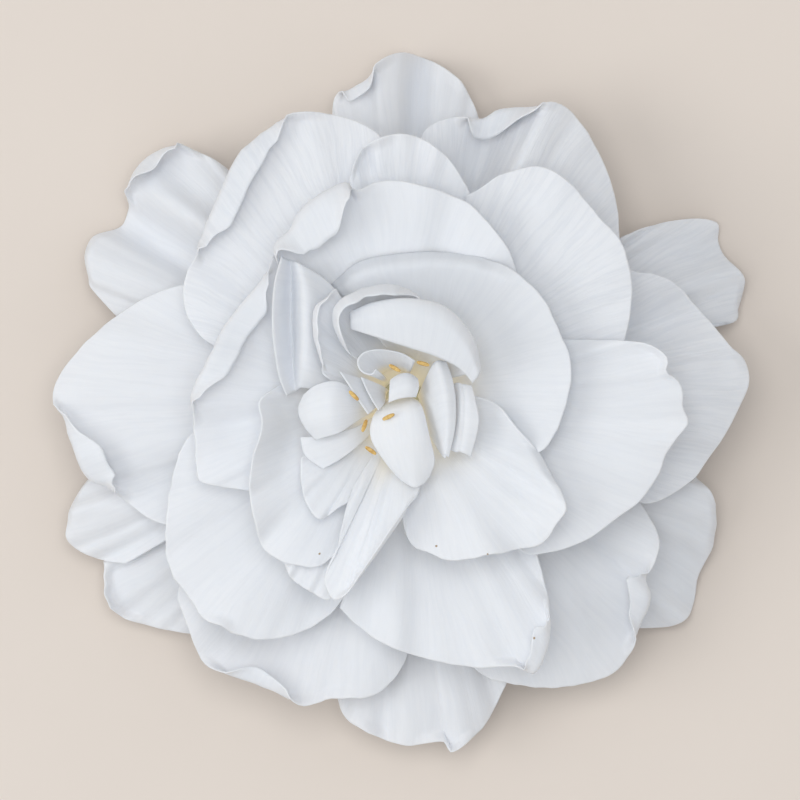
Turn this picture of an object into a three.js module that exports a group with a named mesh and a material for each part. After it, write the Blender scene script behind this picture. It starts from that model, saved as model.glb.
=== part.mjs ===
// Preserved gardenia bloom, millimetres, +Z up: a free-standing double flower head that faces up.
// Every petal is a thin closed shell that grows from a short corolla column above a cut calyx.
import * as THREE from "three";

// ---- driving dimensions, mm ----
const HEAD_RADIUS = 40; // axis to the tips of the outermost petals
const PETAL_THICKNESS = 0.5;
const LOWEST_CLAW = 6.4; // height of the first petal claws above the resting plane
const COLUMN_HEIGHT = 13.5; // rise of the claws from the outermost whorl to the heart
const COLUMN_FOOT_RADIUS = 5; // claw radius of the outermost whorl
const COLUMN_TAPER = 3; // how much narrower the column is at the heart
const CLAW_HALF_WIDTH = 1.5; // in the outermost whorl; the heart is narrower
const ANTHER_HALF_LENGTH = 0.75;
const ANTHER_RADIUS = 0.24;
const CALYX_RADIUS = 4.7;
const CALYX_HEIGHT = 5.6;
const TIP_DROOP = 7.6; // how far the outermost tips sink below a flat petal
const LEAST_ROLL = 1.4; // length of the rim band that can turn up or under
const BEND_SHARE = 0.6; // the part of that band that bends; the rest lies back as a flat strip

// ---- shared shape of the whorls: level 0 is the outermost whorl, 1 the heart ----
const clawRadius = (level) => COLUMN_FOOT_RADIUS - COLUMN_TAPER * level;
const clawHeight = (level) => LOWEST_CLAW + COLUMN_HEIGHT * level;

function whorlHeight(r, level) {
  const rise = 3.2 + 9.5 * level ** 1.1;
  const reach = 13 - 8.5 * level;
  const droop = TIP_DROOP * (1 - level) ** 2 * (r / HEAD_RADIUS) ** 3;
  return clawHeight(level) + rise * (1 - Math.exp(-(r - clawRadius(level)) / reach)) - droop;
}

// ---- petals: [name, level, rim, options] ----
// The rim runs anticlockwise from shoulder to shoulder. Each point is [x, y, lift, curl, roll]:
// lift raises the rim, curl is the turn of its edge in degrees (up and over when positive) and
// roll the length of the band that turns. A dimple is [across, along, height, width, length].
const PETALS = [
  // outermost whorl
  ["petal_outer_01_top", 0.0, [[9.2, 32, -0.5], [8.3, 34.5], [6.8, 36.8, 0.5, 20, 2],
    [3.4, 39.2, 1], [0, 40, 2.5], [-2.4, 38.5, 2, 60, 2], [-3.6, 36.8, 1.5, 150, 3.2],
    [-6, 35.4, 1.5, 150, 3], [-7.4, 35, 1], [-7.8, 32.5]],
    { dimples: [[0.42, 0.9, -2.2, 0.1, 0.3], [0.8, 0.9, -1, 0.1, 0.2]] }],
  ["petal_outer_02_upper_left", 0.0, [[-19.6, 26.4], [-22.6, 28.3, 1],
    [-26, 28.8, 1.5, 120, 5], [-29.1, 27.2, 1.5, 150, 5.5], [-30.9, 24.4, 0.5, 120, 4], [-31.3, 22],
    [-32.2, 20], [-35.6, 19, 1.5, -40, 2], [-36.8, 17, 2.5, -60, 2.5], [-36.4, 14.5, 2, -60, 2.5],
    [-35.6, 12.9, 1], [-32.6, 9.6]],
    { dimples: [[0.5, 0.95, -1.6, 0.08, 0.3], [0.36, 0.8, 1, 0.08, 0.4]] }],
  ["petal_outer_03_lower_left", 0.0, [[-34.2, -18.6, 1], [-33.6, -20.4, 0.5, 70, 2],
    [-33.1, -22.7, 1, 100, 3], [-31.6, -24.7, 0.5, 60, 2], [-28.4, -26.2], [-25.2, -26.8],
    [-22, -27.2]], {}],
  ["petal_outer_04_lower_right", 0.0, [[25.5, -26.3], [30.7, -26.2, 0.5], [33, -25.3, 1],
    [34, -23.5], [34.4, -20.5, 0.5], [35.2, -18.8], [36.6, -16.5, 1.5, -30, 2],
    [36.8, -13, 2, -40, 2], [35.8, -10.6, 1.5], [34, -8.8], [33, -7]],
    { dimples: [[0.75, 0.8, 1, 0.15, 0.3]] }],
  ["petal_outer_05_upper_right", 0.0, [[34.5, 7], [36.2, 8.6, 0.5, -60, 2],
    [39, 9.3, 1, -90, 2.5], [39.8, 12, 2, -40, 2], [39.7, 14.3, 1.5], [37.6, 16.6],
    [36.8, 18.4, 0.5], [36.6, 20.4, 1.5], [33.5, 20.9, 1], [28.4, 19.9], [23, 17.5]],
    { dimples: [[0.55, 0.85, -1.5, 0.1, 0.3], [0.4, 0.85, 1.3, 0.08, 0.25]] }],
  ["petal_outer_06_left_low", 0.08, [[-33, -6], [-35.9, -8.9, 0, -60, 2], [-37.7, -11.3, 0.5, -60, 2],
    [-38.5, -13.6, 1, -40, 2], [-38.4, -16, 1], [-36.9, -17.4], [-34.1, -18.5, -0.5],
    [-31.5, -18.8]], {}],
  ["petal_outer_07_bottom", 0.08, [[-7.4, -33.5], [-6.2, -36.6, 0.5],
    [-2.8, -38.4, 1, 40, 2], [0.7, -39.7, 1.5], [4.9, -38.9, 1, 50, 2], [5.9, -39.9, 1.5, 90, 2],
    [9.1, -38.1, 1], [10.9, -35.4], [12.3, -32.4]],
    { dimples: [[0.25, 0.75, -1, 0.1, 0.2]] }],
  // lower broad whorl
  ["petal_broad_01_left", 0.2, [[-21, 12], [-24.6, 13.2], [-30.7, 10.8], [-36.9, 5.7, 0.5],
    [-39.9, 0.6, 1], [-38.6, -1.6, 0.5, 120, 2.5], [-36.9, -6.3, 1, 165, 6], [-35.3, -9, 0.5, 165, 6],
    [-33.2, -9.9, 0, 120, 4], [-31.2, -11.8, -0.5], [-26.7, -14.3], [-21, -12.5]], {}],
  ["petal_broad_02_bottom_left", 0.22, [[-22, -17], [-25.4, -21.8], [-24.4, -25.6, 0.5],
    [-22.8, -29.6, 0.5], [-21.4, -30.8, 0.5, 60, 2], [-17.5, -32.2, 0.5, 150, 3.2],
    [-13.6, -33.7, 0.5, 120, 3], [-11, -34.9, 0.5, 40, 2], [-8, -34.1, 0, 30, 2], [-3.4, -34],
    [-0.9, -32.2], [0.8, -29.2], [1.5, -24]],
    { dimples: [[0.42, 0.82, -3, 0.13, 0.2], [0.78, 0.8, 1.2, 0.1, 0.25]] }],
  ["petal_broad_03_lower_right", 0.18, [[6, -26], [9, -31.2], [13.6, -32.7], [18.2, -33, 0.3],
    [23.8, -31.7, 0.5], [26, -29.7], [26.5, -27.6, 0, 90, 2.5], [27.4, -25.4, 0, 165, 4],
    [28.5, -22.5, 0.3, 165, 6.5], [28, -20.3, 0, 120, 3], [29, -18.8, 0.5, 30, 2], [29.7, -16.4, 1],
    [29.3, -14.8, 1], [27.3, -11.4]], {}],
  ["petal_broad_04_right", 0.24, [[25, -10.5], [28.6, -11.8], [33.5, -9.1], [35.2, -6.8],
    [37, -4.2, 0.5], [38.7, -1, 1], [39.9, 2, 1.5], [39.5, 4.5, 1.5, -30, 2], [37.8, 6.1, 1],
    [35.8, 8.6, 0.5], [33.5, 11.2], [31.8, 13.1], [29.5, 14.3], [26.5, 14.8], [24, 16]],
    { dimples: [[0.72, 0.8, -2.4, 0.12, 0.22]] }],
  ["petal_broad_05_top_right", 0.21, [[24.8, 15.5], [25.1, 18.4], [24.9, 21.6], [23.9, 25.6],
    [22.4, 29, 0.5], [20.5, 32, 0.5], [18.5, 33.8, 1.5], [16.9, 33.9, 2, 30, 2],
    [15.3, 33.3, 1, 120, 4], [11.5, 33.4, 0.5, 165, 5.5], [9.3, 32.2, 0, 150, 4], [5.7, 32.3, -0.5],
    [2.8, 30.8, -0.5], [1, 26]],
    { dimples: [[0.68, 0.85, -3, 0.1, 0.28], [0.5, 0.85, 1.5, 0.07, 0.3]] }],
  // second whorl
  ["petal_second_01_upper_left", 0.37, [[-1, 25], [-2.3, 30.1], [-5, 31.8], [-8, 32.6],
    [-11.4, 32.6, 0.5, 60, 2], [-14.8, 30.8, 0.5, 150, 4], [-18.2, 28.1, 0.5, 165, 5.5],
    [-19.6, 25.4, 0.5, 165, 5.5], [-21, 22.2, 0.5, 165, 5], [-22.7, 18.4, 0.3, 120, 3.5], [-24, 15.3],
    [-24.7, 13], [-24.4, 10], [-22.7, 7.2], [-18, 4.5]], {}],
  ["petal_second_02_lower_left", 0.4, [[-19.5, -1], [-23.9, -4], [-25, -5.7], [-25.9, -8.5],
    [-26.5, -12, 0.5], [-26.7, -15.3, 0.5], [-26.6, -18.3], [-25.6, -20.6], [-23.8, -22.8],
    [-22.4, -24.9, 0.5], [-20.5, -25.7, 0.5, 40, 2], [-18.8, -26.7, 0.5], [-16.4, -27.3, 0.5],
    [-13.6, -27.1], [-10.8, -26.3, -0.5], [-8.5, -24.9, -0.8], [-7, -23.4, -0.8], [-3.5, -18]],
    { dimples: [[0.8, 0.8, -1.5, 0.12, 0.25]] }],
  ["petal_second_03_bottom", 0.44, [[-6.9, -23.7], [-4.5, -26], [-2.3, -27.5],
    [0.6, -28.7, 0.3], [4.5, -29.8, 0.3], [9.1, -30.5], [13, -30.1, 0, 60, 2],
    [15.2, -30.9, 0, 150, 4], [16.6, -28.4, 0, 165, 5], [17, -26, 0, 120, 3], [16.9, -22.8],
    [16.4, -20.6], [15.6, -17.4]],
    { dimples: [[0.2, 0.85, 0.6, 0.1, 0.25]] }],
  ["petal_second_04_top", 0.44, [[9, 20.5], [7.9, 23.6], [5.9, 27], [4.5, 28.4], [2.3, 29.8],
    [0, 30.3, 0.5], [-2.3, 29.9, 0.5, 30, 2], [-4, 28.8, 0, 60, 2], [-5.1, 27.2, 0, 60, 2], [-5.8, 25]], { dimples: [[0.6, 0.9, -0.6, 0.25, 0.15]] }],
  ["petal_second_05_upper_right", 0.49, [[24.5, 3.8], [25.5, 6.8], [26.2, 10.2], [26.3, 13.6, 0.3],
    [25.1, 18, 0.3], [22.7, 20.7], [20.5, 23.5], [17.6, 26, 0.5], [15.3, 26.6, 0.5], [11.4, 25.6],
    [9.1, 24.1, -0.5], [7.4, 23.2, -0.5]],
    { dimples: [[0.75, 0.85, -0.8, 0.1, 0.3]] }],
  ["petal_second_06_right", 0.54, [[10, -13.5], [14.2, -17.4], [17, -17.3], [20.5, -16.2],
    [22.7, -14.9], [25, -13.1], [27.3, -11.4], [29.5, -8.2], [30.1, -6.3], [31.3, -4.5, 0.5],
    [32.7, -2.6, 1], [32.2, -0.8, 0.5], [32.2, 0.6], [31.6, 2.3], [30.1, 3.2, 0.5, 60, 2],
    [30.3, 4.6, 0.5, 60, 2], [29, 5.9, 0, 60, 2], [27.3, 6.6], [22.7, 6.8], [18.5, 6.9]],
    {}],
  // third whorl
  ["petal_third_01_left", 0.58, [[-14.3, 16.4], [-15.8, 13.6, 1, 120, 2.5],
    [-17.6, 11.4, 1, 165, 4.5], [-19.9, 8.5, 1, 165, 4.5], [-21.1, 6.3, 1, 165, 4.5],
    [-22.5, 3.4, 1, 165, 4.5], [-23.7, 0.6, 0.5, 120, 3.5], [-23.9, -0.8, 0.5, 60, 2], [-23.5, -3.4],
    [-23.1, -8], [-22.7, -9.2], [-20, -9.9, -0.5], [-16.6, -10.4, -0.5]],
    { dimples: [[0.68, 0.85, -1, 0.1, 0.2]] }],
  ["petal_third_02_top", 0.62, [[13.3, 14.2], [12.8, 15.9], [11.9, 17.8], [10.2, 19.9],
    [8, 22.2], [6.3, 23], [3.4, 24.1, 0.3], [0, 24.8, 0.3], [-2.8, 24.7], [-5, 23.9, 0, 40, 2],
    [-6.2, 24.8, 0, 120, 6], [-9.2, 23.3, 0, 165, 8], [-11.4, 21.4, 0, 165, 8],
    [-12.6, 19.4, 0, 150, 6], [-14.4, 17.3, 0, 100, 4], [-13.2, 13.8]],
    { dimples: [[0.45, 0.45, -0.8, 0.3, 0.15]] }],
  ["petal_third_03_right", 0.68, [[11, -6.5], [15.9, -5.9, 0.5], [17.8, -3.4, 0.3], [18.8, -0.6],
    [19.4, 2.3], [19.2, 5.1], [18.5, 6.8], [17.5, 9.1], [16.6, 11], [14.8, 13.1],
    [12, 15, 0.3, -40, 2], [8, 15.9, 0.8, -80, 3], [3.6, 16.1, 0.8, -80, 3], [-0.6, 15.7, 0.8, -80, 3],
    [-4.4, 14.9, 0.6, -80, 3], [-7.8, 12.8, 0, -60, 2]], { claw: 30 }],
  ["petal_third_04_lower_left_tip", 0.6, [[-13.2, -18.3], [-12.3, -20.2], [-10, -21.8],
    [-8.1, -22.6], [-6.2, -20.6]], {}],
  ["petal_third_05_lower_left", 0.66, [[-12.5, 2.5], [-16.3, 0, 2], [-16.2, -2.8, 2.5],
    [-17, -6.3, 2.5], [-17.3, -9.1, 2], [-17.1, -11.4, 1], [-16.4, -14.2, 0.5], [-15.5, -16.8],
    [-13.6, -18.2], [-10.8, -18.9], [-9, -18.8], [-7.4, -17.6, 0.5], [-6, -17]],
    { power: 4, dimples: [[0.35, 0.8, -1, 0.2, 0.2]] }],
  ["petal_third_06_lower_right", 0.74, [[-0.3, -8.5], [0.5, -14.6, -0.5], [1.4, -16.5, -0.3],
    [3.4, -17.4], [5.7, -18.2], [10.2, -17.6], [13.6, -16.9, -0.5], [16, -16.3, -0.5],
    [17.6, -14.5, 0.5], [19, -12.3, 1.5], [18.2, -10.4, 1, -30, 2], [17, -8.5, 0.5, -40, 2],
    [15.9, -6.3, 0.3, -40, 2], [13.6, -3.4, 0.5], [11.4, -0.6, 1], [9, 0.6, 1.5]],
    { dimples: [[0.62, 0.8, -1.6, 0.09, 0.25]] }],
  ["petal_third_07_bottom_fold", 0.8, [[-5.4, -10], [-6.3, -13], [-7.2, -17],
    [-8.5, -20.2, -0.5], [-7.6, -22.6, -1], [-6.2, -22.1, 0, 60, 1.6], [-4.5, -19.9, 1, 90, 2],
    [-2.3, -17, 1.5, 90, 2], [0, -13.8, 1.5, 90, 2], [2, -11, 0.5], [2.6, -8.5]],
    { claw: -85, dimples: [[0.6, 0.85, -1.2, 0.15, 0.4]] }],
  // inner petals round the heart
  ["petal_inner_02_left_lobe", 0.87, [[-7.3, 12.7, 0.5], [-8.7, 12.2, 1.2, 60, 2], [-9.8, 10.4, 1.5, 90, 2],
    [-10, 8, 1.5, 90, 2], [-9.8, 5, 1.2, 60, 2], [-9, 3, 0.8], [-7.6, 1.8]], { claw: 143 }],
  ["petal_inner_03_cup", 0.92, [[3.2, 11.2], [2.2, 12.6, 0, 60, 2], [0.6, 13.4, 0, 80, 3],
    [-1.5, 13.6, 0.3, 90, 3], [-4, 13.1, 0.6, 90, 3], [-6.2, 12.2, 1, 90, 3], [-7.6, 10.9, 1.4, 90, 3],
    [-7.9, 9.2, 1.5, 90, 3], [-7.4, 7.4, 1.4, 80, 2.5], [-6.6, 5.9, 1.2, 60, 2]],
    { claw: 100, dimples: [[0.1, 0.55, -2.4, 0.35, 0.35], [0.45, 0.65, -1, 0.3, 0.25]] }],
  ["petal_inner_06_pointed", 0.76, [[-11.3, -6.6], [-11.2, -9.5], [-10.5, -12],
    [-9.1, -13.5], [-7, -12.3], [-4.6, -11]], { claw: 220 }],
];

// ---- sheets: [name, rows of points from the foot to the free edge] ----
const SHEETS = [
  ["petal_inner_01_left_gutter", [
    [[-2.6, -0.3, 17.6], [-2.7, 0.1, 17.6], [-2.7, 0.5, 17.6], [-2.5, 0.9, 17.6], [-2.4, 1.3, 17.6], [-2.2, 1.6, 17.6]],
    [[-5.4, 0.2, 21.4], [-5.7, 1.4, 22], [-5.9, 3, 22.4], [-5.8, 4.9, 22.6], [-5.4, 6.9, 22.6], [-4.8, 8.6, 22.4]],
    [[-8.8, 0.9, 24], [-8.6, 2.8, 25.2], [-8.5, 5.4, 25.8], [-8.5, 8.2, 26], [-8.3, 11, 25.6], [-8, 13.2, 24.8]],
    [[-11, 1.4, 24.8], [-11, 3.8, 26.6], [-10.9, 6.8, 27.4], [-10.9, 9.8, 27.6], [-10.9, 12.8, 27], [-11.3, 15.4, 25.6]],
    [[-11.8, 1, 23.6], [-12, 3.4, 23], [-12.2, 6.8, 22.6], [-12.3, 10, 22.6], [-12.3, 13, 22.8], [-12.3, 15.8, 23.6]],
    [[-12.8, 0.4, 24.9], [-13.7, 2.8, 26], [-14.3, 6.8, 27], [-14.4, 10.4, 27.2], [-14.1, 13.6, 26.6], [-13.4, 16.2, 25.4]],
  ]],
  ["petal_inner_04_rounded_lobe", [
    [[-2.4, 0.2, 18.8], [-2.5, -0.2, 18.8], [-2.4, -0.6, 18.8], [-2.3, -1, 18.8]],
    [[-4.6, 0.9, 24.6], [-4.7, -0.2, 25], [-4.8, -1.3, 24.9], [-4.7, -2.2, 24.4]],
    [[-7.1, 2.1, 26.7], [-7.4, 0.2, 27.5], [-7.3, -2, 27.4], [-6.7, -3.6, 26.6]],
    [[-9.4, 1.7, 26.8], [-10, -0.3, 27.3], [-9.6, -2.6, 27.1], [-8.5, -4.2, 26.5]],
    [[-10.9, 0.6, 26.3], [-11.5, -1.1, 26.3], [-10.9, -2.9, 26.2], [-9.5, -4.5, 26]],
  ]],
  ["petal_inner_05_hollow", [
    [[-2.2, -1.3, 17.8], [-2, -1.6, 17.8], [-1.7, -1.9, 17.8]],
    [[-4.9, -3, 23.2], [-4.7, -3.9, 23.4], [-4.3, -4.7, 23.2]],
    [[-8, -3.9, 24.8], [-7.6, -5.4, 25.1], [-6.6, -6.6, 24.9]],
    [[-11.3, -4.2, 25], [-10.7, -6.3, 25.2], [-8.7, -7.8, 25.2]],
  ]],
  ["petal_heart_01_roll", [
    [[1.1, 3, 24], [0.5, 3.4, 24], [-0.5, 3.6, 24], [-1.4, 3.5, 24], [-2, 3.1, 24],
     [-2.2, 2.7, 24], [-1.9, 2.3, 24], [-1.5, 2.4, 24]],
    [[1.4, 3.7, 27], [0.3, 4.4, 27], [-1.5, 4.7, 27.1], [-2.9, 4.5, 27.2], [-3.6, 3.8, 27.2],
     [-3.4, 3, 27.2], [-2.6, 2.7, 27.2], [-2.1, 3, 27.2]],
    [[1.7, 4.4, 28.6], [0.1, 5.3, 28.9], [-2.2, 5.7, 29.2], [-4, 5.4, 29.3], [-4.8, 4.4, 29.2],
     [-4.4, 3.3, 29], [-3.3, 2.9, 28.8], [-2.7, 3.5, 28.6]],
  ]],
  ["petal_heart_02_hood", [
    [[0.8, 2.3, 20.6], [1, 2.2, 20.6], [1.3, 2, 20.6], [1.5, 1.9, 20.6], [1.7, 1.7, 20.6], [1.9, 1.5, 20.6]],
    [[-2.4, 6.9, 27.4], [-0.6, 7.4, 27.4], [2, 7.2, 27.2], [4.4, 5.8, 27], [5.9, 4.2, 26.8], [6.4, 2.6, 26.6]],
    [[-5.4, 9.7, 29.8], [-2.8, 10.8, 30.6], [1, 11.2, 30.8], [5.1, 10.2, 30.2], [8, 7, 29.4], [8.8, 3.3, 28.4]],
    [[-5.6, 9, 30.8], [-2.7, 9.6, 31.8], [1, 9.8, 32.2], [4.8, 8.7, 32], [7.5, 6.2, 31.4], [8.9, 2.9, 30.4]],
    [[-5.6, 8, 30.6], [-2.5, 7, 31.4], [0.9, 5.9, 31.6], [4, 4.9, 31.4], [6.6, 3.6, 31], [8.2, 1.9, 30]],
  ]],
  ["petal_heart_03_egg", [
    [[-1.1, 0.2, 22], [-0.6, 0.5, 22], [0, 0.6, 22], [0.6, 0.5, 22], [1.1, 0.2, 22]],
    [[-3, -2, 26.6], [-1.6, -1.3, 27.4], [0, -0.9, 27.7], [1.4, -0.5, 27.6], [2.4, -0.8, 27]],
    [[-3.3, -4.2, 26.9], [-1.3, -4.2, 28], [0.6, -4, 28.4], [2.3, -3.8, 28.2], [3.3, -4.1, 27.5]],
    [[-1.9, -6.7, 26.8], [-0.3, -7.2, 27.6], [1.3, -7.4, 27.9], [2.7, -7.2, 27.6], [3.9, -6.8, 27.1]],
    [[0, -8.9, 26.4], [0.8, -9.5, 26.8], [1.7, -9.9, 27], [2.6, -9.5, 26.8], [3.3, -8.7, 26.6]],
  ]],
  ["petal_heart_04_right_fold", [
    [[1.9, -1.2, 21.2], [2.2, -0.7, 21.2], [2.4, -0.2, 21.2], [2.3, 0.2, 21.2], [2.2, 0.5, 21.2]],
    [[4.8, -6.2, 26], [4.3, -3.8, 26.2], [3.6, -1.4, 26.2], [3.2, 0.7, 26.2], [3, 2.5, 26]],
    [[5.1, -6.2, 27], [5.2, -3.3, 28], [5, -0.6, 28.6], [4.6, 1.8, 28.8], [3.9, 4.3, 28.5]],
    [[5.5, -6.5, 26.8], [6.2, -3.2, 27.9], [6.3, -0.4, 28.3], [6, 2, 28.5], [5.2, 4.4, 28.2]],
  ]],
  ["petal_heart_05_left_fold", [
    [[-2.1, 0.7, 20.6], [-2.2, 0.3, 20.6], [-2.2, -0.1, 20.6], [-2.1, -0.5, 20.6]],
    [[-4.1, 2.2, 25.8], [-3.7, 1.1, 26.2], [-3.3, 0, 26.2], [-2.9, -1, 26]],
    [[-6.8, 3.2, 28], [-5.8, 1.7, 28.6], [-4.7, 0, 28.6], [-3.6, -1.6, 28]],
  ]],
  ["petal_heart_06_left_fold", [
    [[-1.4, 1.2, 22], [-1.7, 0.9, 22], [-1.8, 0.6, 22], [-1.8, 0.3, 22]],
    [[-2.3, 1.7, 26], [-2.3, 0.9, 26.4], [-2.1, 0.1, 26.6], [-1.9, -0.5, 26.8]],
    [[-4.4, 2.6, 28.4], [-3.8, 1.2, 29], [-3.1, -0.1, 29], [-2.4, -1.2, 28.5]],
  ]],
  ["petal_heart_07_centre", [
    [[1.6, 1.2, 22], [1.3, 1.4, 22], [0.9, 1.5, 22], [0.5, 1.4, 22]],
    [[1.9, 2.3, 26.8], [1.1, 2.8, 27], [0.1, 2.8, 27], [-0.9, 2.2, 26.8]],
    [[2.1, 1.4, 28], [1.2, 1.8, 28.6], [0, 1.7, 28.6], [-1.2, 1.1, 28.2]],
    [[1.8, 0.3, 27.9], [0.9, 0.3, 28.5], [-0.2, 0.1, 28.5], [-1.3, -0.3, 28.2]],
  ]],
  ["petal_inner_07_right_crescent", [
    [[2.3, -1.5, 18], [2.5, -1.1, 18], [2.6, -0.7, 18], [2.6, -0.3, 18]],
    [[5.5, -5.4, 25.4], [6.1, -2.2, 26.4], [6.2, 0.2, 26.6], [6, 1.8, 26.2]],
    [[6.9, -5.9, 26.4], [7.4, -2.4, 27.4], [7.4, 0.1, 27.6], [7.1, 1.8, 27.1]],
    [[8, -6.4, 26], [8.9, -2.6, 27.2], [8.5, 0, 27.4], [8.1, 1.6, 27]],
  ]],
];

// ---- anthers: [x, y, z, heading, tilt], heading and tilt in degrees ----
const ANTHERS = [
  [2.6, 4.1, 29.2, -15, 5],
  [-0.6, 3.6, 28.1, -30, 10],
  [-5.2, 0.5, 29.2, -45, 5],
  [-4, -2.9, 27.4, 70, 10],
  [-3.3, -5.7, 26.6, -35, 5],
  [-1.3, -1.9, 28.9, 25, 0],
];

// ---- petal surface ----
const RAD = Math.PI / 180;
const ease = (w) => w * w * (3 - 2 * w);

// Smooth curve through the rim points, evenly spaced in length; lift, curl and roll ease between them.
function rimAt(rim, u) {
  const s = [0];
  for (let i = 1; i < rim.length; i++)
    s.push(s[i - 1] + Math.hypot(rim[i][0] - rim[i - 1][0], rim[i][1] - rim[i - 1][1]));
  const at = u * s[s.length - 1];
  let i = 0;
  while (i < rim.length - 2 && at > s[i + 1]) i++;
  const h = s[i + 1] - s[i];
  const w = (at - s[i]) / h;
  const slope = (k, axis) => {
    const a = Math.max(k - 1, 0);
    const b = Math.min(k + 1, rim.length - 1);
    return (rim[b][axis] - rim[a][axis]) / (s[b] - s[a]);
  };
  const along = (axis) =>
    rim[i][axis] * (1 - ease(w)) + rim[i + 1][axis] * ease(w) +
    h * (slope(i, axis) * w * (1 - w) ** 2 - slope(i + 1, axis) * w * w * (1 - w));
  const mix = (axis, least) =>
    (rim[i][axis] ?? least) * (1 - ease(w)) + (rim[i + 1][axis] ?? least) * ease(w);
  return [along(0), along(1), mix(2, 0), mix(3, 0) * RAD, Math.max(mix(4, LEAST_ROLL), LEAST_ROLL)];
}

// Rows of the band past a rib's end: [way out, way up] of each, and how far out the band gets.
function curled(curl, roll, turns) {
  const steps = 8 * turns;
  const band = [];
  let out = 0;
  let up = 0;
  let reach = 0;
  for (let k = 0; k < steps; k++) {
    const angle = curl * ease(Math.min((k + 0.5) / steps / BEND_SHARE, 1));
    out += (Math.cos(angle) * roll) / steps;
    up += (Math.sin(angle) * roll) / steps;
    reach = Math.max(reach, out);
    if (k % 8 === 7) band.push([out, up]);
  }
  return [band, reach];
}

// Grid of mid-surface points: ribs run from the claw to the rim, then turn with the curl.
function petalGrid(level, rim, { power = 2, dimples = [], claw }, columns, rows, turns) {
  const middle = rimAt(rim, 0.5);
  const facing = claw === undefined ? Math.atan2(middle[1], middle[0]) : claw * RAD;
  const height = (x, y, u, v, lift) => {
    let z = whorlHeight(Math.hypot(x, y), level) + lift * v ** power;
    for (const [du, dv, tall, wide, long] of dimples)
      z += tall * Math.exp(-(((u - du) / wide) ** 2) - ((v - dv) / long) ** 2);
    return z;
  };
  const grid = [];
  for (let j = 0; j <= columns; j++) {
    const u = j / columns;
    const [rx, ry, lift, curl, roll] = rimAt(rim, u);
    const turn = facing + ((2 * u - 1) * CLAW_HALF_WIDTH * (1 - 0.4 * level)) / clawRadius(level);
    const cx = clawRadius(level) * Math.cos(turn);
    const cy = clawRadius(level) * Math.sin(turn);
    const far = Math.hypot(rx - cx, ry - cy);
    const dx = (rx - cx) / far;
    const dy = (ry - cy) / far;
    const [band, reach] = curled(curl, roll, turns);
    const flat = far - reach;
    const rib = [];
    for (let i = 0; i <= rows; i++) {
      const v = i / rows;
      const x = cx + dx * flat * v;
      const y = cy + dy * flat * v;
      rib.push([x, y, height(x, y, u, v, lift)]);
    }
    const end = rib[rows];
    const near = [end[0] - dx * 0.2, end[1] - dy * 0.2];
    const slope = (end[2] - height(near[0], near[1], u, 1 - 0.2 / flat, lift)) / 0.2;
    const norm = Math.hypot(1, slope);
    for (const [out, up] of band)
      rib.push([
        end[0] + (dx * (out - up * slope)) / norm,
        end[1] + (dy * (out - up * slope)) / norm,
        end[2] + (out * slope + up) / norm,
      ]);
    grid.push(rib);
  }
  return grid;
}

// Smooth grid through the rows of a sheet.
function sheetGrid(points, columns, rows) {
  const blend = (p, q, r, s, w) =>
    q + 0.5 * w * (r - p + w * (2 * p - 5 * q + 4 * r - s + w * (3 * (q - r) + s - p)));
  const pick = (list, t) => {
    const i = Math.min(Math.floor(t), list.length - 2);
    const at = (k) => {
      if (k < 0) return list[0].map((value, axis) => 2 * value - list[1][axis]);
      if (k >= list.length) return list[list.length - 1].map((value, axis) => 2 * value - list[list.length - 2][axis]);
      return list[k];
    };
    const [p, q, r, s] = [at(i - 1), at(i), at(i + 1), at(i + 2)];
    return q.map((_, axis) => blend(p[axis], q[axis], r[axis], s[axis], t - i));
  };
  const grid = [];
  for (let j = 0; j <= columns; j++) {
    const across = points.map((row) => pick(row, (j / columns) * (row.length - 1)));
    const rib = [];
    for (let i = 0; i <= rows; i++) rib.push(pick(across, (i / rows) * (across.length - 1)));
    grid.push(rib);
  }
  return grid;
}

// Closed thin shell on both sides of a grid of mid-surface points.
function shell(grid, thickness) {
  const nu = grid.length;
  const nv = grid[0].length;
  const at = (j, i) => new THREE.Vector3(...grid[Math.min(Math.max(j, 0), nu - 1)][Math.min(Math.max(i, 0), nv - 1)]);
  const sides = [[], []];
  for (let j = 0; j < nu; j++)
    for (let i = 0; i < nv; i++) {
      const across = at(j + 1, i).sub(at(j - 1, i));
      const along = at(j, i + 1).sub(at(j, i - 1));
      const normal = along.cross(across).normalize();
      sides[0].push(at(j, i).addScaledVector(normal, thickness / 2));
      sides[1].push(at(j, i).addScaledVector(normal, -thickness / 2));
    }
  const points = [...sides[0], ...sides[1]];
  const top = (j, i) => j * nv + i;
  const low = (j, i) => nu * nv + j * nv + i;
  const faces = [];
  const quad = (a, b, c, d) => faces.push(a, b, c, a, c, d);
  for (let j = 0; j + 1 < nu; j++)
    for (let i = 0; i + 1 < nv; i++) {
      quad(top(j, i), top(j, i + 1), top(j + 1, i + 1), top(j + 1, i));
      quad(low(j, i), low(j + 1, i), low(j + 1, i + 1), low(j, i + 1));
    }
  for (let j = 0; j + 1 < nu; j++) {
    quad(top(j, 0), top(j + 1, 0), low(j + 1, 0), low(j, 0));
    quad(top(j, nv - 1), low(j, nv - 1), low(j + 1, nv - 1), top(j + 1, nv - 1));
  }
  for (let i = 0; i + 1 < nv; i++) {
    quad(top(0, i), low(0, i), low(0, i + 1), top(0, i + 1));
    quad(top(nu - 1, i), top(nu - 1, i + 1), low(nu - 1, i + 1), low(nu - 1, i));
  }
  const geometry = new THREE.BufferGeometry().setFromPoints(points);
  geometry.setIndex(faces);
  geometry.computeVertexNormals();
  return geometry;
}

// ---- assembly ----
const bloom = new THREE.Group();
bloom.name = "gardenia";

function add(name, geometry, colour, roughness) {
  const material = new THREE.MeshStandardMaterial({ color: colour, roughness, metalness: 0, name });
  const mesh = new THREE.Mesh(geometry, material);
  mesh.name = name;
  bloom.add(mesh);
}

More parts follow.
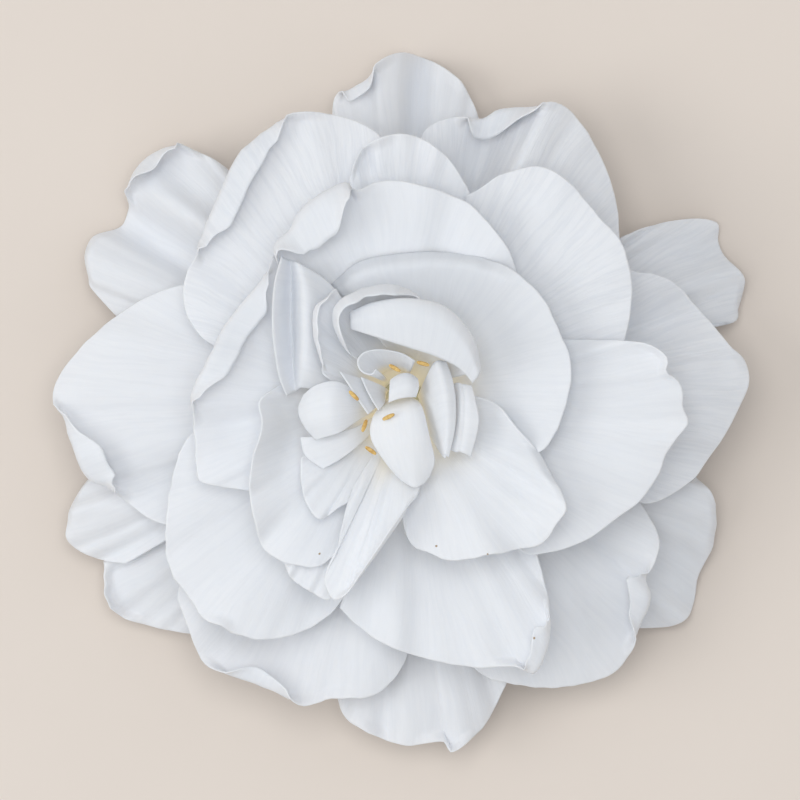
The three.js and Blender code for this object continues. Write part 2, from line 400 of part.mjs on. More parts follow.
for (const [name, level, rim, options] of PETALS) {
  const rolled = rim.some((point) => Math.abs(point[3] ?? 0) > 50);
  const grid = petalGrid(level, rim, options, level > 0.75 ? 8 : 10, level > 0.75 ? 3 : 4, rolled ? 3 : 1);
  add(name, shell(grid, PETAL_THICKNESS), 0xeceef2, 0.62);
}

for (const [name, rows] of SHEETS)
  add(name, shell(sheetGrid(rows, 8, 2 * (rows.length - 1)), PETAL_THICKNESS), 0xf1efe6, 0.62);

ANTHERS.forEach(([x, y, z, heading, tilt], k) => {
  const geometry = new THREE.SphereGeometry(1, 8, 6).scale(ANTHER_HALF_LENGTH, ANTHER_RADIUS, ANTHER_RADIUS);
  geometry.rotateY(-tilt * RAD).rotateZ(heading * RAD).translate(x, y, z);
  add(`anther_${k + 1}`, geometry, 0xc9953c, 0.8);
});

// Corolla column that carries the claws, and the cut calyx the head rests on.
const column = [[0, 5.9]];
for (let k = 0; k <= 6; k++)
  column.push([clawRadius(k / 6) - 0.6, k === 0 ? 5.9 : clawHeight(k / 6)]);
column.push([0.9, clawHeight(1) + 0.7], [0, clawHeight(1) + 0.9]);
const turned = (profile, segments) =>
  new THREE.LatheGeometry(profile.map(([r, z]) => new THREE.Vector2(r, z)), segments).rotateX(Math.PI / 2);
add("corolla_column", turned(column, 16), 0xe9eadf, 0.7);

const calyx = turned([[0, 0], [3.6, 0], [4.1, 0.5], [CALYX_RADIUS, 3], [4.3, 5], [3.7, CALYX_HEIGHT], [0, CALYX_HEIGHT]], 24);
const skin = calyx.attributes.position;
for (let k = 0; k < skin.count; k++) {
  const rib = 1 - 0.05 * Math.cos(6 * Math.atan2(skin.getY(k), skin.getX(k)));
  skin.setXY(k, skin.getX(k) * rib, skin.getY(k) * rib);
}
calyx.computeVertexNormals();
add("calyx", calyx, 0x8f9a62, 0.75);

for (let k = 0; k < 6; k++) {
  const turn = (k * 60 + 30) * RAD;
  const place = ([out, side, z]) => [
    out * Math.cos(turn) - side * Math.sin(turn), out * Math.sin(turn) + side * Math.cos(turn), z];
  const rows = [[5.1, 1.2, 4.7], [6.8, 1, 5.2], [8.8, 0.6, 5.4], [10.6, 0.15, 5]].map(([out, half, z]) =>
    [-1, 0, 1].map((side) => place([out, side * half, z - 0.15 * (1 - side * side)])));
  add(`sepal_${k + 1}`, shell(sheetGrid(rows, 2, 3), 0.45), 0x8f9a62, 0.75);
}

// The origin is the middle of the head's box, on the plane it rests on.
const box = new THREE.Box3().setFromObject(bloom);
const middle = box.getCenter(new THREE.Vector3());
bloom.position.set(-middle.x, -middle.y, -box.min.z);
const part = new THREE.Group();
part.name = "preserved_gardenia";
part.add(bloom);
export default part;
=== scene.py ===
# Preserved gardenia: a free-standing double flower head, looked at from straight above.
import math
import bpy
import numpy as np
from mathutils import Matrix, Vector


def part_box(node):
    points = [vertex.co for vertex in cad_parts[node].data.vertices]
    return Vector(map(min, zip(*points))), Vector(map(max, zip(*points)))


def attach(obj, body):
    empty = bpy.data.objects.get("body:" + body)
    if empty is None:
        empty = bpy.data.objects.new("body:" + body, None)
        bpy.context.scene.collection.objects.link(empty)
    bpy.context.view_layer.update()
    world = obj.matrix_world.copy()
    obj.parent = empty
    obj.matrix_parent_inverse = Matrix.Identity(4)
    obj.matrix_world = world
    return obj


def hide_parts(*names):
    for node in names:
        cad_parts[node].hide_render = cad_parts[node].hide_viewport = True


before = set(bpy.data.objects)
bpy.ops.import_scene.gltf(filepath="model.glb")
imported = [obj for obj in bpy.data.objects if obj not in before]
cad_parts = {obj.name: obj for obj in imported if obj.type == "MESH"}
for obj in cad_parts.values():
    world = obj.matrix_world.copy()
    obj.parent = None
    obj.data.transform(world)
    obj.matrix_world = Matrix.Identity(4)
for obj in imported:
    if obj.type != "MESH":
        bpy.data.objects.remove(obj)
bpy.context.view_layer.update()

# ---- driving dimensions, the same as the CAD part's, mm ----
MM = 0.001
HEAD_RADIUS = 40
PETAL_THICKNESS = 0.46
RIM_THICKNESS = 0.22
LOWEST_CLAW = 6.4
COLUMN_HEIGHT = 13.5
COLUMN_FOOT_RADIUS = 5
COLUMN_TAPER = 3
CLAW_HALF_WIDTH = 1.5
ANTHER_HALF = 0.75
ANTHER_RADIUS = 0.24
CALYX_RADIUS = 4.7
CALYX_HEIGHT = 5.6
TIP_DROOP = 7.6
LEAST_ROLL = 1.4
BEND_SHARE = 0.6
CLAW_NARROWING = 0.4
WHORL_RISE = 3.2
WHORL_RISE_GAIN = 9.5
WHORL_REACH = 13
WHORL_REACH_LOSS = 8.5

# ---- finer detail of the visible petals, mm ----
NOTCH_DEPTH = 0.1
SWELL_HEIGHT = 0.12
EDGE_THINNING = 0.35
CREASE_ASPECT = 0.6
PETAL_MESH = ((72, 34, 14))
SHEET_MESH = (56, 48)
SEPAL_MESH = (16, 30)
SEPAL_THICKNESS = 0.44
SEPAL_RIM = 0.3
ANTHER_SIDES = 28
ANTHER_STEPS = 20

# The flower's axis is the middle of the calyx, on the plane the head rests on.
calyx_lo, calyx_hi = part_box("calyx")
AXIS = np.array([(calyx_lo.x + calyx_hi.x) / 2, (calyx_lo.y + calyx_hi.y) / 2, calyx_lo.z])

# ---- petals: [name, level, rim, options], as in the CAD part ----
# The rim runs anticlockwise from shoulder to shoulder. Each point is [x, y, lift, curl, roll]:
# lift raises the rim, curl is the turn of its edge in degrees (up and over when positive) and
# roll the length of the band that turns. A dimple is [across, along, height, width, length].
PETALS = [
  # outermost whorl
  ["petal_outer_01_top", 0.0, [[9.2, 32, -0.5], [8.3, 34.5], [6.8, 36.8, 0.5, 20, 2],
    [3.4, 39.2, 1], [0, 40, 2.5], [-2.4, 38.5, 2, 60, 2], [-3.6, 36.8, 1.5, 150, 3.2],
    [-6, 35.4, 1.5, 150, 3], [-7.4, 35, 1], [-7.8, 32.5]],
    { "dimples": [[0.42, 0.9, -2.2, 0.1, 0.3], [0.8, 0.9, -1, 0.1, 0.2]] }],
  ["petal_outer_02_upper_left", 0.0, [[-19.6, 26.4], [-22.6, 28.3, 1],
    [-26, 28.8, 1.5, 120, 5], [-29.1, 27.2, 1.5, 150, 5.5], [-30.9, 24.4, 0.5, 120, 4], [-31.3, 22],
    [-32.2, 20], [-35.6, 19, 1.5, -40, 2], [-36.8, 17, 2.5, -60, 2.5], [-36.4, 14.5, 2, -60, 2.5],
    [-35.6, 12.9, 1], [-32.6, 9.6]],
    { "dimples": [[0.5, 0.95, -1.6, 0.08, 0.3], [0.36, 0.8, 1, 0.08, 0.4]] }],
  ["petal_outer_03_lower_left", 0.0, [[-34.2, -18.6, 1], [-33.6, -20.4, 0.5, 70, 2],
    [-33.1, -22.7, 1, 100, 3], [-31.6, -24.7, 0.5, 60, 2], [-28.4, -26.2], [-25.2, -26.8],
    [-22, -27.2]], {}],
  ["petal_outer_04_lower_right", 0.0, [[25.5, -26.3], [30.7, -26.2, 0.5], [33, -25.3, 1],
    [34, -23.5], [34.4, -20.5, 0.5], [35.2, -18.8], [36.6, -16.5, 1.5, -30, 2],
    [36.8, -13, 2, -40, 2], [35.8, -10.6, 1.5], [34, -8.8], [33, -7]],
    { "dimples": [[0.75, 0.8, 1, 0.15, 0.3]] }],
  ["petal_outer_05_upper_right", 0.0, [[34.5, 7], [36.2, 8.6, 0.5, -60, 2],
    [39, 9.3, 1, -90, 2.5], [39.8, 12, 2, -40, 2], [39.7, 14.3, 1.5], [37.6, 16.6],
    [36.8, 18.4, 0.5], [36.6, 20.4, 1.5], [33.5, 20.9, 1], [28.4, 19.9], [23, 17.5]],
    { "dimples": [[0.55, 0.85, -1.5, 0.1, 0.3], [0.4, 0.85, 1.3, 0.08, 0.25]] }],
  ["petal_outer_06_left_low", 0.08, [[-33, -6], [-35.9, -8.9, 0, -60, 2], [-37.7, -11.3, 0.5, -60, 2],
    [-38.5, -13.6, 1, -40, 2], [-38.4, -16, 1], [-36.9, -17.4], [-34.1, -18.5, -0.5],
    [-31.5, -18.8]], {}],
  ["petal_outer_07_bottom", 0.08, [[-7.4, -33.5], [-6.2, -36.6, 0.5],
    [-2.8, -38.4, 1, 40, 2], [0.7, -39.7, 1.5], [4.9, -38.9, 1, 50, 2], [5.9, -39.9, 1.5, 90, 2],
    [9.1, -38.1, 1], [10.9, -35.4], [12.3, -32.4]],
    { "dimples": [[0.25, 0.75, -1, 0.1, 0.2]] }],
  # lower broad whorl
  ["petal_broad_01_left", 0.2, [[-21, 12], [-24.6, 13.2], [-30.7, 10.8], [-36.9, 5.7, 0.5],
    [-39.9, 0.6, 1], [-38.6, -1.6, 0.5, 120, 2.5], [-36.9, -6.3, 1, 165, 6], [-35.3, -9, 0.5, 165, 6],
    [-33.2, -9.9, 0, 120, 4], [-31.2, -11.8, -0.5], [-26.7, -14.3], [-21, -12.5]], {}],
  ["petal_broad_02_bottom_left", 0.22, [[-22, -17], [-25.4, -21.8], [-24.4, -25.6, 0.5],
    [-22.8, -29.6, 0.5], [-21.4, -30.8, 0.5, 60, 2], [-17.5, -32.2, 0.5, 150, 3.2],
    [-13.6, -33.7, 0.5, 120, 3], [-11, -34.9, 0.5, 40, 2], [-8, -34.1, 0, 30, 2], [-3.4, -34],
    [-0.9, -32.2], [0.8, -29.2], [1.5, -24]],
    { "dimples": [[0.42, 0.82, -3, 0.13, 0.2], [0.78, 0.8, 1.2, 0.1, 0.25]] }],
  ["petal_broad_03_lower_right", 0.18, [[6, -26], [9, -31.2], [13.6, -32.7], [18.2, -33, 0.3],
    [23.8, -31.7, 0.5], [26, -29.7], [26.5, -27.6, 0, 90, 2.5], [27.4, -25.4, 0, 165, 4],
    [28.5, -22.5, 0.3, 165, 6.5], [28, -20.3, 0, 120, 3], [29, -18.8, 0.5, 30, 2], [29.7, -16.4, 1],
    [29.3, -14.8, 1], [27.3, -11.4]], {}],
  ["petal_broad_04_right", 0.24, [[25, -10.5], [28.6, -11.8], [33.5, -9.1], [35.2, -6.8],
    [37, -4.2, 0.5], [38.7, -1, 1], [39.9, 2, 1.5], [39.5, 4.5, 1.5, -30, 2], [37.8, 6.1, 1],
    [35.8, 8.6, 0.5], [33.5, 11.2], [31.8, 13.1], [29.5, 14.3], [26.5, 14.8], [24, 16]],
    { "dimples": [[0.72, 0.8, -2.4, 0.12, 0.22]] }],
  ["petal_broad_05_top_right", 0.21, [[24.8, 15.5], [25.1, 18.4], [24.9, 21.6], [23.9, 25.6],
    [22.4, 29, 0.5], [20.5, 32, 0.5], [18.5, 33.8, 1.5], [16.9, 33.9, 2, 30, 2],
    [15.3, 33.3, 1, 120, 4], [11.5, 33.4, 0.5, 165, 5.5], [9.3, 32.2, 0, 150, 4], [5.7, 32.3, -0.5],
    [2.8, 30.8, -0.5], [1, 26]],
    { "dimples": [[0.68, 0.85, -3, 0.1, 0.28], [0.5, 0.85, 1.5, 0.07, 0.3]] }],
  # second whorl
  ["petal_second_01_upper_left", 0.37, [[-1, 25], [-2.3, 30.1], [-5, 31.8], [-8, 32.6],
    [-11.4, 32.6, 0.5, 60, 2], [-14.8, 30.8, 0.5, 150, 4], [-18.2, 28.1, 0.5, 165, 5.5],
    [-19.6, 25.4, 0.5, 165, 5.5], [-21, 22.2, 0.5, 165, 5], [-22.7, 18.4, 0.3, 120, 3.5], [-24, 15.3],
    [-24.7, 13], [-24.4, 10], [-22.7, 7.2], [-18, 4.5]], {}],
  ["petal_second_02_lower_left", 0.4, [[-19.5, -1], [-23.9, -4], [-25, -5.7], [-25.9, -8.5],
    [-26.5, -12, 0.5], [-26.7, -15.3, 0.5], [-26.6, -18.3], [-25.6, -20.6], [-23.8, -22.8],
    [-22.4, -24.9, 0.5], [-20.5, -25.7, 0.5, 40, 2], [-18.8, -26.7, 0.5], [-16.4, -27.3, 0.5],
    [-13.6, -27.1], [-10.8, -26.3, -0.5], [-8.5, -24.9, -0.8], [-7, -23.4, -0.8], [-3.5, -18]],
    { "dimples": [[0.8, 0.8, -1.5, 0.12, 0.25]] }],
  ["petal_second_03_bottom", 0.44, [[-6.9, -23.7], [-4.5, -26], [-2.3, -27.5],
    [0.6, -28.7, 0.3], [4.5, -29.8, 0.3], [9.1, -30.5], [13, -30.1, 0, 60, 2],
    [15.2, -30.9, 0, 150, 4], [16.6, -28.4, 0, 165, 5], [17, -26, 0, 120, 3], [16.9, -22.8],
    [16.4, -20.6], [15.6, -17.4]],
    { "dimples": [[0.2, 0.85, 0.6, 0.1, 0.25]] }],
  ["petal_second_04_top", 0.44, [[9, 20.5], [7.9, 23.6], [5.9, 27], [4.5, 28.4], [2.3, 29.8],
    [0, 30.3, 0.5], [-2.3, 29.9, 0.5, 30, 2], [-4, 28.8, 0, 60, 2], [-5.1, 27.2, 0, 60, 2], [-5.8, 25]],
    { "dimples": [[0.6, 0.9, -0.6, 0.25, 0.15]] }],
  ["petal_second_05_upper_right", 0.49, [[24.5, 3.8], [25.5, 6.8], [26.2, 10.2], [26.3, 13.6, 0.3],
    [25.1, 18, 0.3], [22.7, 20.7], [20.5, 23.5], [17.6, 26, 0.5], [15.3, 26.6, 0.5], [11.4, 25.6],
    [9.1, 24.1, -0.5], [7.4, 23.2, -0.5]],
    { "dimples": [[0.75, 0.85, -0.8, 0.1, 0.3]] }],
  ["petal_second_06_right", 0.54, [[10, -13.5], [14.2, -17.4], [17, -17.3], [20.5, -16.2],
    [22.7, -14.9], [25, -13.1], [27.3, -11.4], [29.5, -8.2], [30.1, -6.3], [31.3, -4.5, 0.5],
    [32.7, -2.6, 1], [32.2, -0.8, 0.5], [32.2, 0.6], [31.6, 2.3], [30.1, 3.2, 0.5, 60, 2],
    [30.3, 4.6, 0.5, 60, 2], [29, 5.9, 0, 60, 2], [27.3, 6.6], [22.7, 6.8], [18.5, 6.9]],
    {}],
  # third whorl
  ["petal_third_01_left", 0.58, [[-14.3, 16.4], [-15.8, 13.6, 1, 120, 2.5],
    [-17.6, 11.4, 1, 165, 4.5], [-19.9, 8.5, 1, 165, 4.5], [-21.1, 6.3, 1, 165, 4.5],
    [-22.5, 3.4, 1, 165, 4.5], [-23.7, 0.6, 0.5, 120, 3.5], [-23.9, -0.8, 0.5, 60, 2], [-23.5, -3.4],
    [-23.1, -8], [-22.7, -9.2], [-20, -9.9, -0.5], [-16.6, -10.4, -0.5]],
    { "dimples": [[0.68, 0.85, -1, 0.1, 0.2]] }],
  ["petal_third_02_top", 0.62, [[13.3, 14.2], [12.8, 15.9], [11.9, 17.8], [10.2, 19.9],
    [8, 22.2], [6.3, 23], [3.4, 24.1, 0.3], [0, 24.8, 0.3], [-2.8, 24.7], [-5, 23.9, 0, 40, 2],
    [-6.2, 24.8, 0, 120, 6], [-9.2, 23.3, 0, 165, 8], [-11.4, 21.4, 0, 165, 8],
    [-12.6, 19.4, 0, 150, 6], [-14.4, 17.3, 0, 100, 4], [-13.2, 13.8]],
    { "dimples": [[0.45, 0.45, -0.8, 0.3, 0.15]] }],
  ["petal_third_03_right", 0.68, [[11, -6.5], [15.9, -5.9, 0.5], [17.8, -3.4, 0.3], [18.8, -0.6],
    [19.4, 2.3], [19.2, 5.1], [18.5, 6.8], [17.5, 9.1], [16.6, 11], [14.8, 13.1],
    [12, 15, 0.3, -40, 2], [8, 15.9, 0.8, -80, 3], [3.6, 16.1, 0.8, -80, 3], [-0.6, 15.7, 0.8, -80, 3],
    [-4.4, 14.9, 0.6, -80, 3], [-7.8, 12.8, 0, -60, 2]], { "claw": 30 }],
  ["petal_third_04_lower_left_tip", 0.6, [[-13.2, -18.3], [-12.3, -20.2], [-10, -21.8],
    [-8.1, -22.6], [-6.2, -20.6]], {}],
  ["petal_third_05_lower_left", 0.66, [[-12.5, 2.5], [-16.3, 0, 2], [-16.2, -2.8, 2.5],
    [-17, -6.3, 2.5], [-17.3, -9.1, 2], [-17.1, -11.4, 1], [-16.4, -14.2, 0.5], [-15.5, -16.8],
    [-13.6, -18.2], [-10.8, -18.9], [-9, -18.8], [-7.4, -17.6, 0.5], [-6, -17]],
    { "power": 4, "dimples": [[0.35, 0.8, -1, 0.2, 0.2]] }],
  ["petal_third_06_lower_right", 0.74, [[-0.3, -8.5], [0.5, -14.6, -0.5], [1.4, -16.5, -0.3],
    [3.4, -17.4], [5.7, -18.2], [10.2, -17.6], [13.6, -16.9, -0.5], [16, -16.3, -0.5],
    [17.6, -14.5, 0.5], [19, -12.3, 1.5], [18.2, -10.4, 1, -30, 2], [17, -8.5, 0.5, -40, 2],
    [15.9, -6.3, 0.3, -40, 2], [13.6, -3.4, 0.5], [11.4, -0.6, 1], [9, 0.6, 1.5]],
    { "dimples": [[0.62, 0.8, -1.6, 0.09, 0.25]] }],
  ["petal_third_07_bottom_fold", 0.8, [[-5.4, -10], [-6.3, -13], [-7.2, -17],
    [-8.5, -20.2, -0.5], [-7.6, -22.6, -1], [-6.2, -22.1, 0, 60, 1.6], [-4.5, -19.9, 1, 90, 2],
    [-2.3, -17, 1.5, 90, 2], [0, -13.8, 1.5, 90, 2], [2, -11, 0.5], [2.6, -8.5]],
    { "claw": -85, "dimples": [[0.6, 0.85, -1.2, 0.15, 0.4]] }],
  # inner petals round the heart
  ["petal_inner_02_left_lobe", 0.87, [[-7.3, 12.7, 0.5], [-8.7, 12.2, 1.2, 60, 2], [-9.8, 10.4, 1.5, 90, 2],
    [-10, 8, 1.5, 90, 2], [-9.8, 5, 1.2, 60, 2], [-9, 3, 0.8], [-7.6, 1.8]], { "claw": 143 }],
  ["petal_inner_03_cup", 0.92, [[3.2, 11.2], [2.2, 12.6, 0, 60, 2], [0.6, 13.4, 0, 80, 3],
    [-1.5, 13.6, 0.3, 90, 3], [-4, 13.1, 0.6, 90, 3], [-6.2, 12.2, 1, 90, 3], [-7.6, 10.9, 1.4, 90, 3],
    [-7.9, 9.2, 1.5, 90, 3], [-7.4, 7.4, 1.4, 80, 2.5], [-6.6, 5.9, 1.2, 60, 2]],
    { "claw": 100, "dimples": [[0.1, 0.55, -2.4, 0.35, 0.35], [0.45, 0.65, -1, 0.3, 0.25]] }],
  ["petal_inner_06_pointed", 0.76, [[-11.3, -6.6], [-11.2, -9.5], [-10.5, -12],
    [-9.1, -13.5], [-7, -12.3], [-4.6, -11]], { "claw": 220 }],
]

# ---- sheets: [name, rows of points from the foot to the free edge] ----
SHEETS = [
  ["petal_inner_01_left_gutter", [
    [[-2.6, -0.3, 17.6], [-2.7, 0.1, 17.6], [-2.7, 0.5, 17.6], [-2.5, 0.9, 17.6], [-2.4, 1.3, 17.6],
     [-2.2, 1.6, 17.6]],
    [[-5.4, 0.2, 21.4], [-5.7, 1.4, 22], [-5.9, 3, 22.4], [-5.8, 4.9, 22.6], [-5.4, 6.9, 22.6],
     [-4.8, 8.6, 22.4]],
    [[-8.8, 0.9, 24], [-8.6, 2.8, 25.2], [-8.5, 5.4, 25.8], [-8.5, 8.2, 26], [-8.3, 11, 25.6],
     [-8, 13.2, 24.8]],
    [[-11, 1.4, 24.8], [-11, 3.8, 26.6], [-10.9, 6.8, 27.4], [-10.9, 9.8, 27.6], [-10.9, 12.8, 27],
     [-11.3, 15.4, 25.6]],
    [[-11.8, 1, 23.6], [-12, 3.4, 23], [-12.2, 6.8, 22.6], [-12.3, 10, 22.6], [-12.3, 13, 22.8],
     [-12.3, 15.8, 23.6]],
    [[-12.8, 0.4, 24.9], [-13.7, 2.8, 26], [-14.3, 6.8, 27], [-14.4, 10.4, 27.2], [-14.1, 13.6, 26.6],
     [-13.4, 16.2, 25.4]],
  ]],
  ["petal_inner_04_rounded_lobe", [
    [[-2.4, 0.2, 18.8], [-2.5, -0.2, 18.8], [-2.4, -0.6, 18.8], [-2.3, -1, 18.8]],
    [[-4.6, 0.9, 24.6], [-4.7, -0.2, 25], [-4.8, -1.3, 24.9], [-4.7, -2.2, 24.4]],
    [[-7.1, 2.1, 26.7], [-7.4, 0.2, 27.5], [-7.3, -2, 27.4], [-6.7, -3.6, 26.6]],
    [[-9.4, 1.7, 26.8], [-10, -0.3, 27.3], [-9.6, -2.6, 27.1], [-8.5, -4.2, 26.5]],
    [[-10.9, 0.6, 26.3], [-11.5, -1.1, 26.3], [-10.9, -2.9, 26.2], [-9.5, -4.5, 26]],
  ]],
  ["petal_inner_05_hollow", [
    [[-2.2, -1.3, 17.8], [-2, -1.6, 17.8], [-1.7, -1.9, 17.8]],
    [[-4.9, -3, 23.2], [-4.7, -3.9, 23.4], [-4.3, -4.7, 23.2]],
    [[-8, -3.9, 24.8], [-7.6, -5.4, 25.1], [-6.6, -6.6, 24.9]],
    [[-11.3, -4.2, 25], [-10.7, -6.3, 25.2], [-8.7, -7.8, 25.2]],
  ]],
  ["petal_heart_01_roll", [
    [[1.1, 3, 24], [0.5, 3.4, 24], [-0.5, 3.6, 24], [-1.4, 3.5, 24], [-2, 3.1, 24],
     [-2.2, 2.7, 24], [-1.9, 2.3, 24], [-1.5, 2.4, 24]],
    [[1.4, 3.7, 27], [0.3, 4.4, 27], [-1.5, 4.7, 27.1], [-2.9, 4.5, 27.2], [-3.6, 3.8, 27.2],
     [-3.4, 3, 27.2], [-2.6, 2.7, 27.2], [-2.1, 3, 27.2]],
    [[1.7, 4.4, 28.6], [0.1, 5.3, 28.9], [-2.2, 5.7, 29.2], [-4, 5.4, 29.3], [-4.8, 4.4, 29.2],
     [-4.4, 3.3, 29], [-3.3, 2.9, 28.8], [-2.7, 3.5, 28.6]],
  ]],
  ["petal_heart_02_hood", [
    [[0.8, 2.3, 20.6], [1, 2.2, 20.6], [1.3, 2, 20.6], [1.5, 1.9, 20.6], [1.7, 1.7, 20.6],
     [1.9, 1.5, 20.6]],
    [[-2.4, 6.9, 27.4], [-0.6, 7.4, 27.4], [2, 7.2, 27.2], [4.4, 5.8, 27], [5.9, 4.2, 26.8],
     [6.4, 2.6, 26.6]],
    [[-5.4, 9.7, 29.8], [-2.8, 10.8, 30.6], [1, 11.2, 30.8], [5.1, 10.2, 30.2], [8, 7, 29.4],
     [8.8, 3.3, 28.4]],
    [[-5.6, 9, 30.8], [-2.7, 9.6, 31.8], [1, 9.8, 32.2], [4.8, 8.7, 32], [7.5, 6.2, 31.4],
     [8.9, 2.9, 30.4]],
    [[-5.6, 8, 30.6], [-2.5, 7, 31.4], [0.9, 5.9, 31.6], [4, 4.9, 31.4], [6.6, 3.6, 31], [8.2, 1.9, 30]],
  ]],
  ["petal_heart_03_egg", [
    [[-1.1, 0.2, 22], [-0.6, 0.5, 22], [0, 0.6, 22], [0.6, 0.5, 22], [1.1, 0.2, 22]],
    [[-3, -2, 26.6], [-1.6, -1.3, 27.4], [0, -0.9, 27.7], [1.4, -0.5, 27.6], [2.4, -0.8, 27]],
    [[-3.3, -4.2, 26.9], [-1.3, -4.2, 28], [0.6, -4, 28.4], [2.3, -3.8, 28.2], [3.3, -4.1, 27.5]],
    [[-1.9, -6.7, 26.8], [-0.3, -7.2, 27.6], [1.3, -7.4, 27.9], [2.7, -7.2, 27.6], [3.9, -6.8, 27.1]],
    [[0, -8.9, 26.4], [0.8, -9.5, 26.8], [1.7, -9.9, 27], [2.6, -9.5, 26.8], [3.3, -8.7, 26.6]],
  ]],
  ["petal_heart_04_right_fold", [
    [[1.9, -1.2, 21.2], [2.2, -0.7, 21.2], [2.4, -0.2, 21.2], [2.3, 0.2, 21.2], [2.2, 0.5, 21.2]],
    [[4.8, -6.2, 26], [4.3, -3.8, 26.2], [3.6, -1.4, 26.2], [3.2, 0.7, 26.2], [3, 2.5, 26]],
    [[5.1, -6.2, 27], [5.2, -3.3, 28], [5, -0.6, 28.6], [4.6, 1.8, 28.8], [3.9, 4.3, 28.5]],
    [[5.5, -6.5, 26.8], [6.2, -3.2, 27.9], [6.3, -0.4, 28.3], [6, 2, 28.5], [5.2, 4.4, 28.2]],
  ]],
  ["petal_heart_05_left_fold", [
    [[-2.1, 0.7, 20.6], [-2.2, 0.3, 20.6], [-2.2, -0.1, 20.6], [-2.1, -0.5, 20.6]],
    [[-4.1, 2.2, 25.8], [-3.7, 1.1, 26.2], [-3.3, 0, 26.2], [-2.9, -1, 26]],
    [[-6.8, 3.2, 28], [-5.8, 1.7, 28.6], [-4.7, 0, 28.6], [-3.6, -1.6, 28]],
  ]],
  ["petal_heart_06_left_fold", [
    [[-1.4, 1.2, 22], [-1.7, 0.9, 22], [-1.8, 0.6, 22], [-1.8, 0.3, 22]],
    [[-2.3, 1.7, 26], [-2.3, 0.9, 26.4], [-2.1, 0.1, 26.6], [-1.9, -0.5, 26.8]],
    [[-4.4, 2.6, 28.4], [-3.8, 1.2, 29], [-3.1, -0.1, 29], [-2.4, -1.2, 28.5]],
  ]],
  ["petal_heart_07_centre", [
    [[1.6, 1.2, 22], [1.3, 1.4, 22], [0.9, 1.5, 22], [0.5, 1.4, 22]],
    [[1.9, 2.3, 26.8], [1.1, 2.8, 27], [0.1, 2.8, 27], [-0.9, 2.2, 26.8]],
    [[2.1, 1.4, 28], [1.2, 1.8, 28.6], [0, 1.7, 28.6], [-1.2, 1.1, 28.2]],
    [[1.8, 0.3, 27.9], [0.9, 0.3, 28.5], [-0.2, 0.1, 28.5], [-1.3, -0.3, 28.2]],
  ]],
  ["petal_inner_07_right_crescent", [
    [[2.3, -1.5, 18], [2.5, -1.1, 18], [2.6, -0.7, 18], [2.6, -0.3, 18]],
    [[5.5, -5.4, 25.4], [6.1, -2.2, 26.4], [6.2, 0.2, 26.6], [6, 1.8, 26.2]],
    [[6.9, -5.9, 26.4], [7.4, -2.4, 27.4], [7.4, 0.1, 27.6], [7.1, 1.8, 27.1]],
    [[8, -6.4, 26], [8.9, -2.6, 27.2], [8.5, 0, 27.4], [8.1, 1.6, 27]],
  ]],
]

# ---- anthers: [x, y, z, heading, tilt], heading and tilt in degrees ----
ANTHERS = [
  [2.6, 4.1, 29.2, -15, 5],
  [-0.6, 3.6, 28.1, -30, 10],
  [-5.2, 0.5, 29.2, -45, 5],
  [-4, -2.9, 27.4, 70, 10],
  [-3.3, -5.7, 26.6, -35, 5],
  [-1.3, -1.9, 28.9, 25, 0],
]


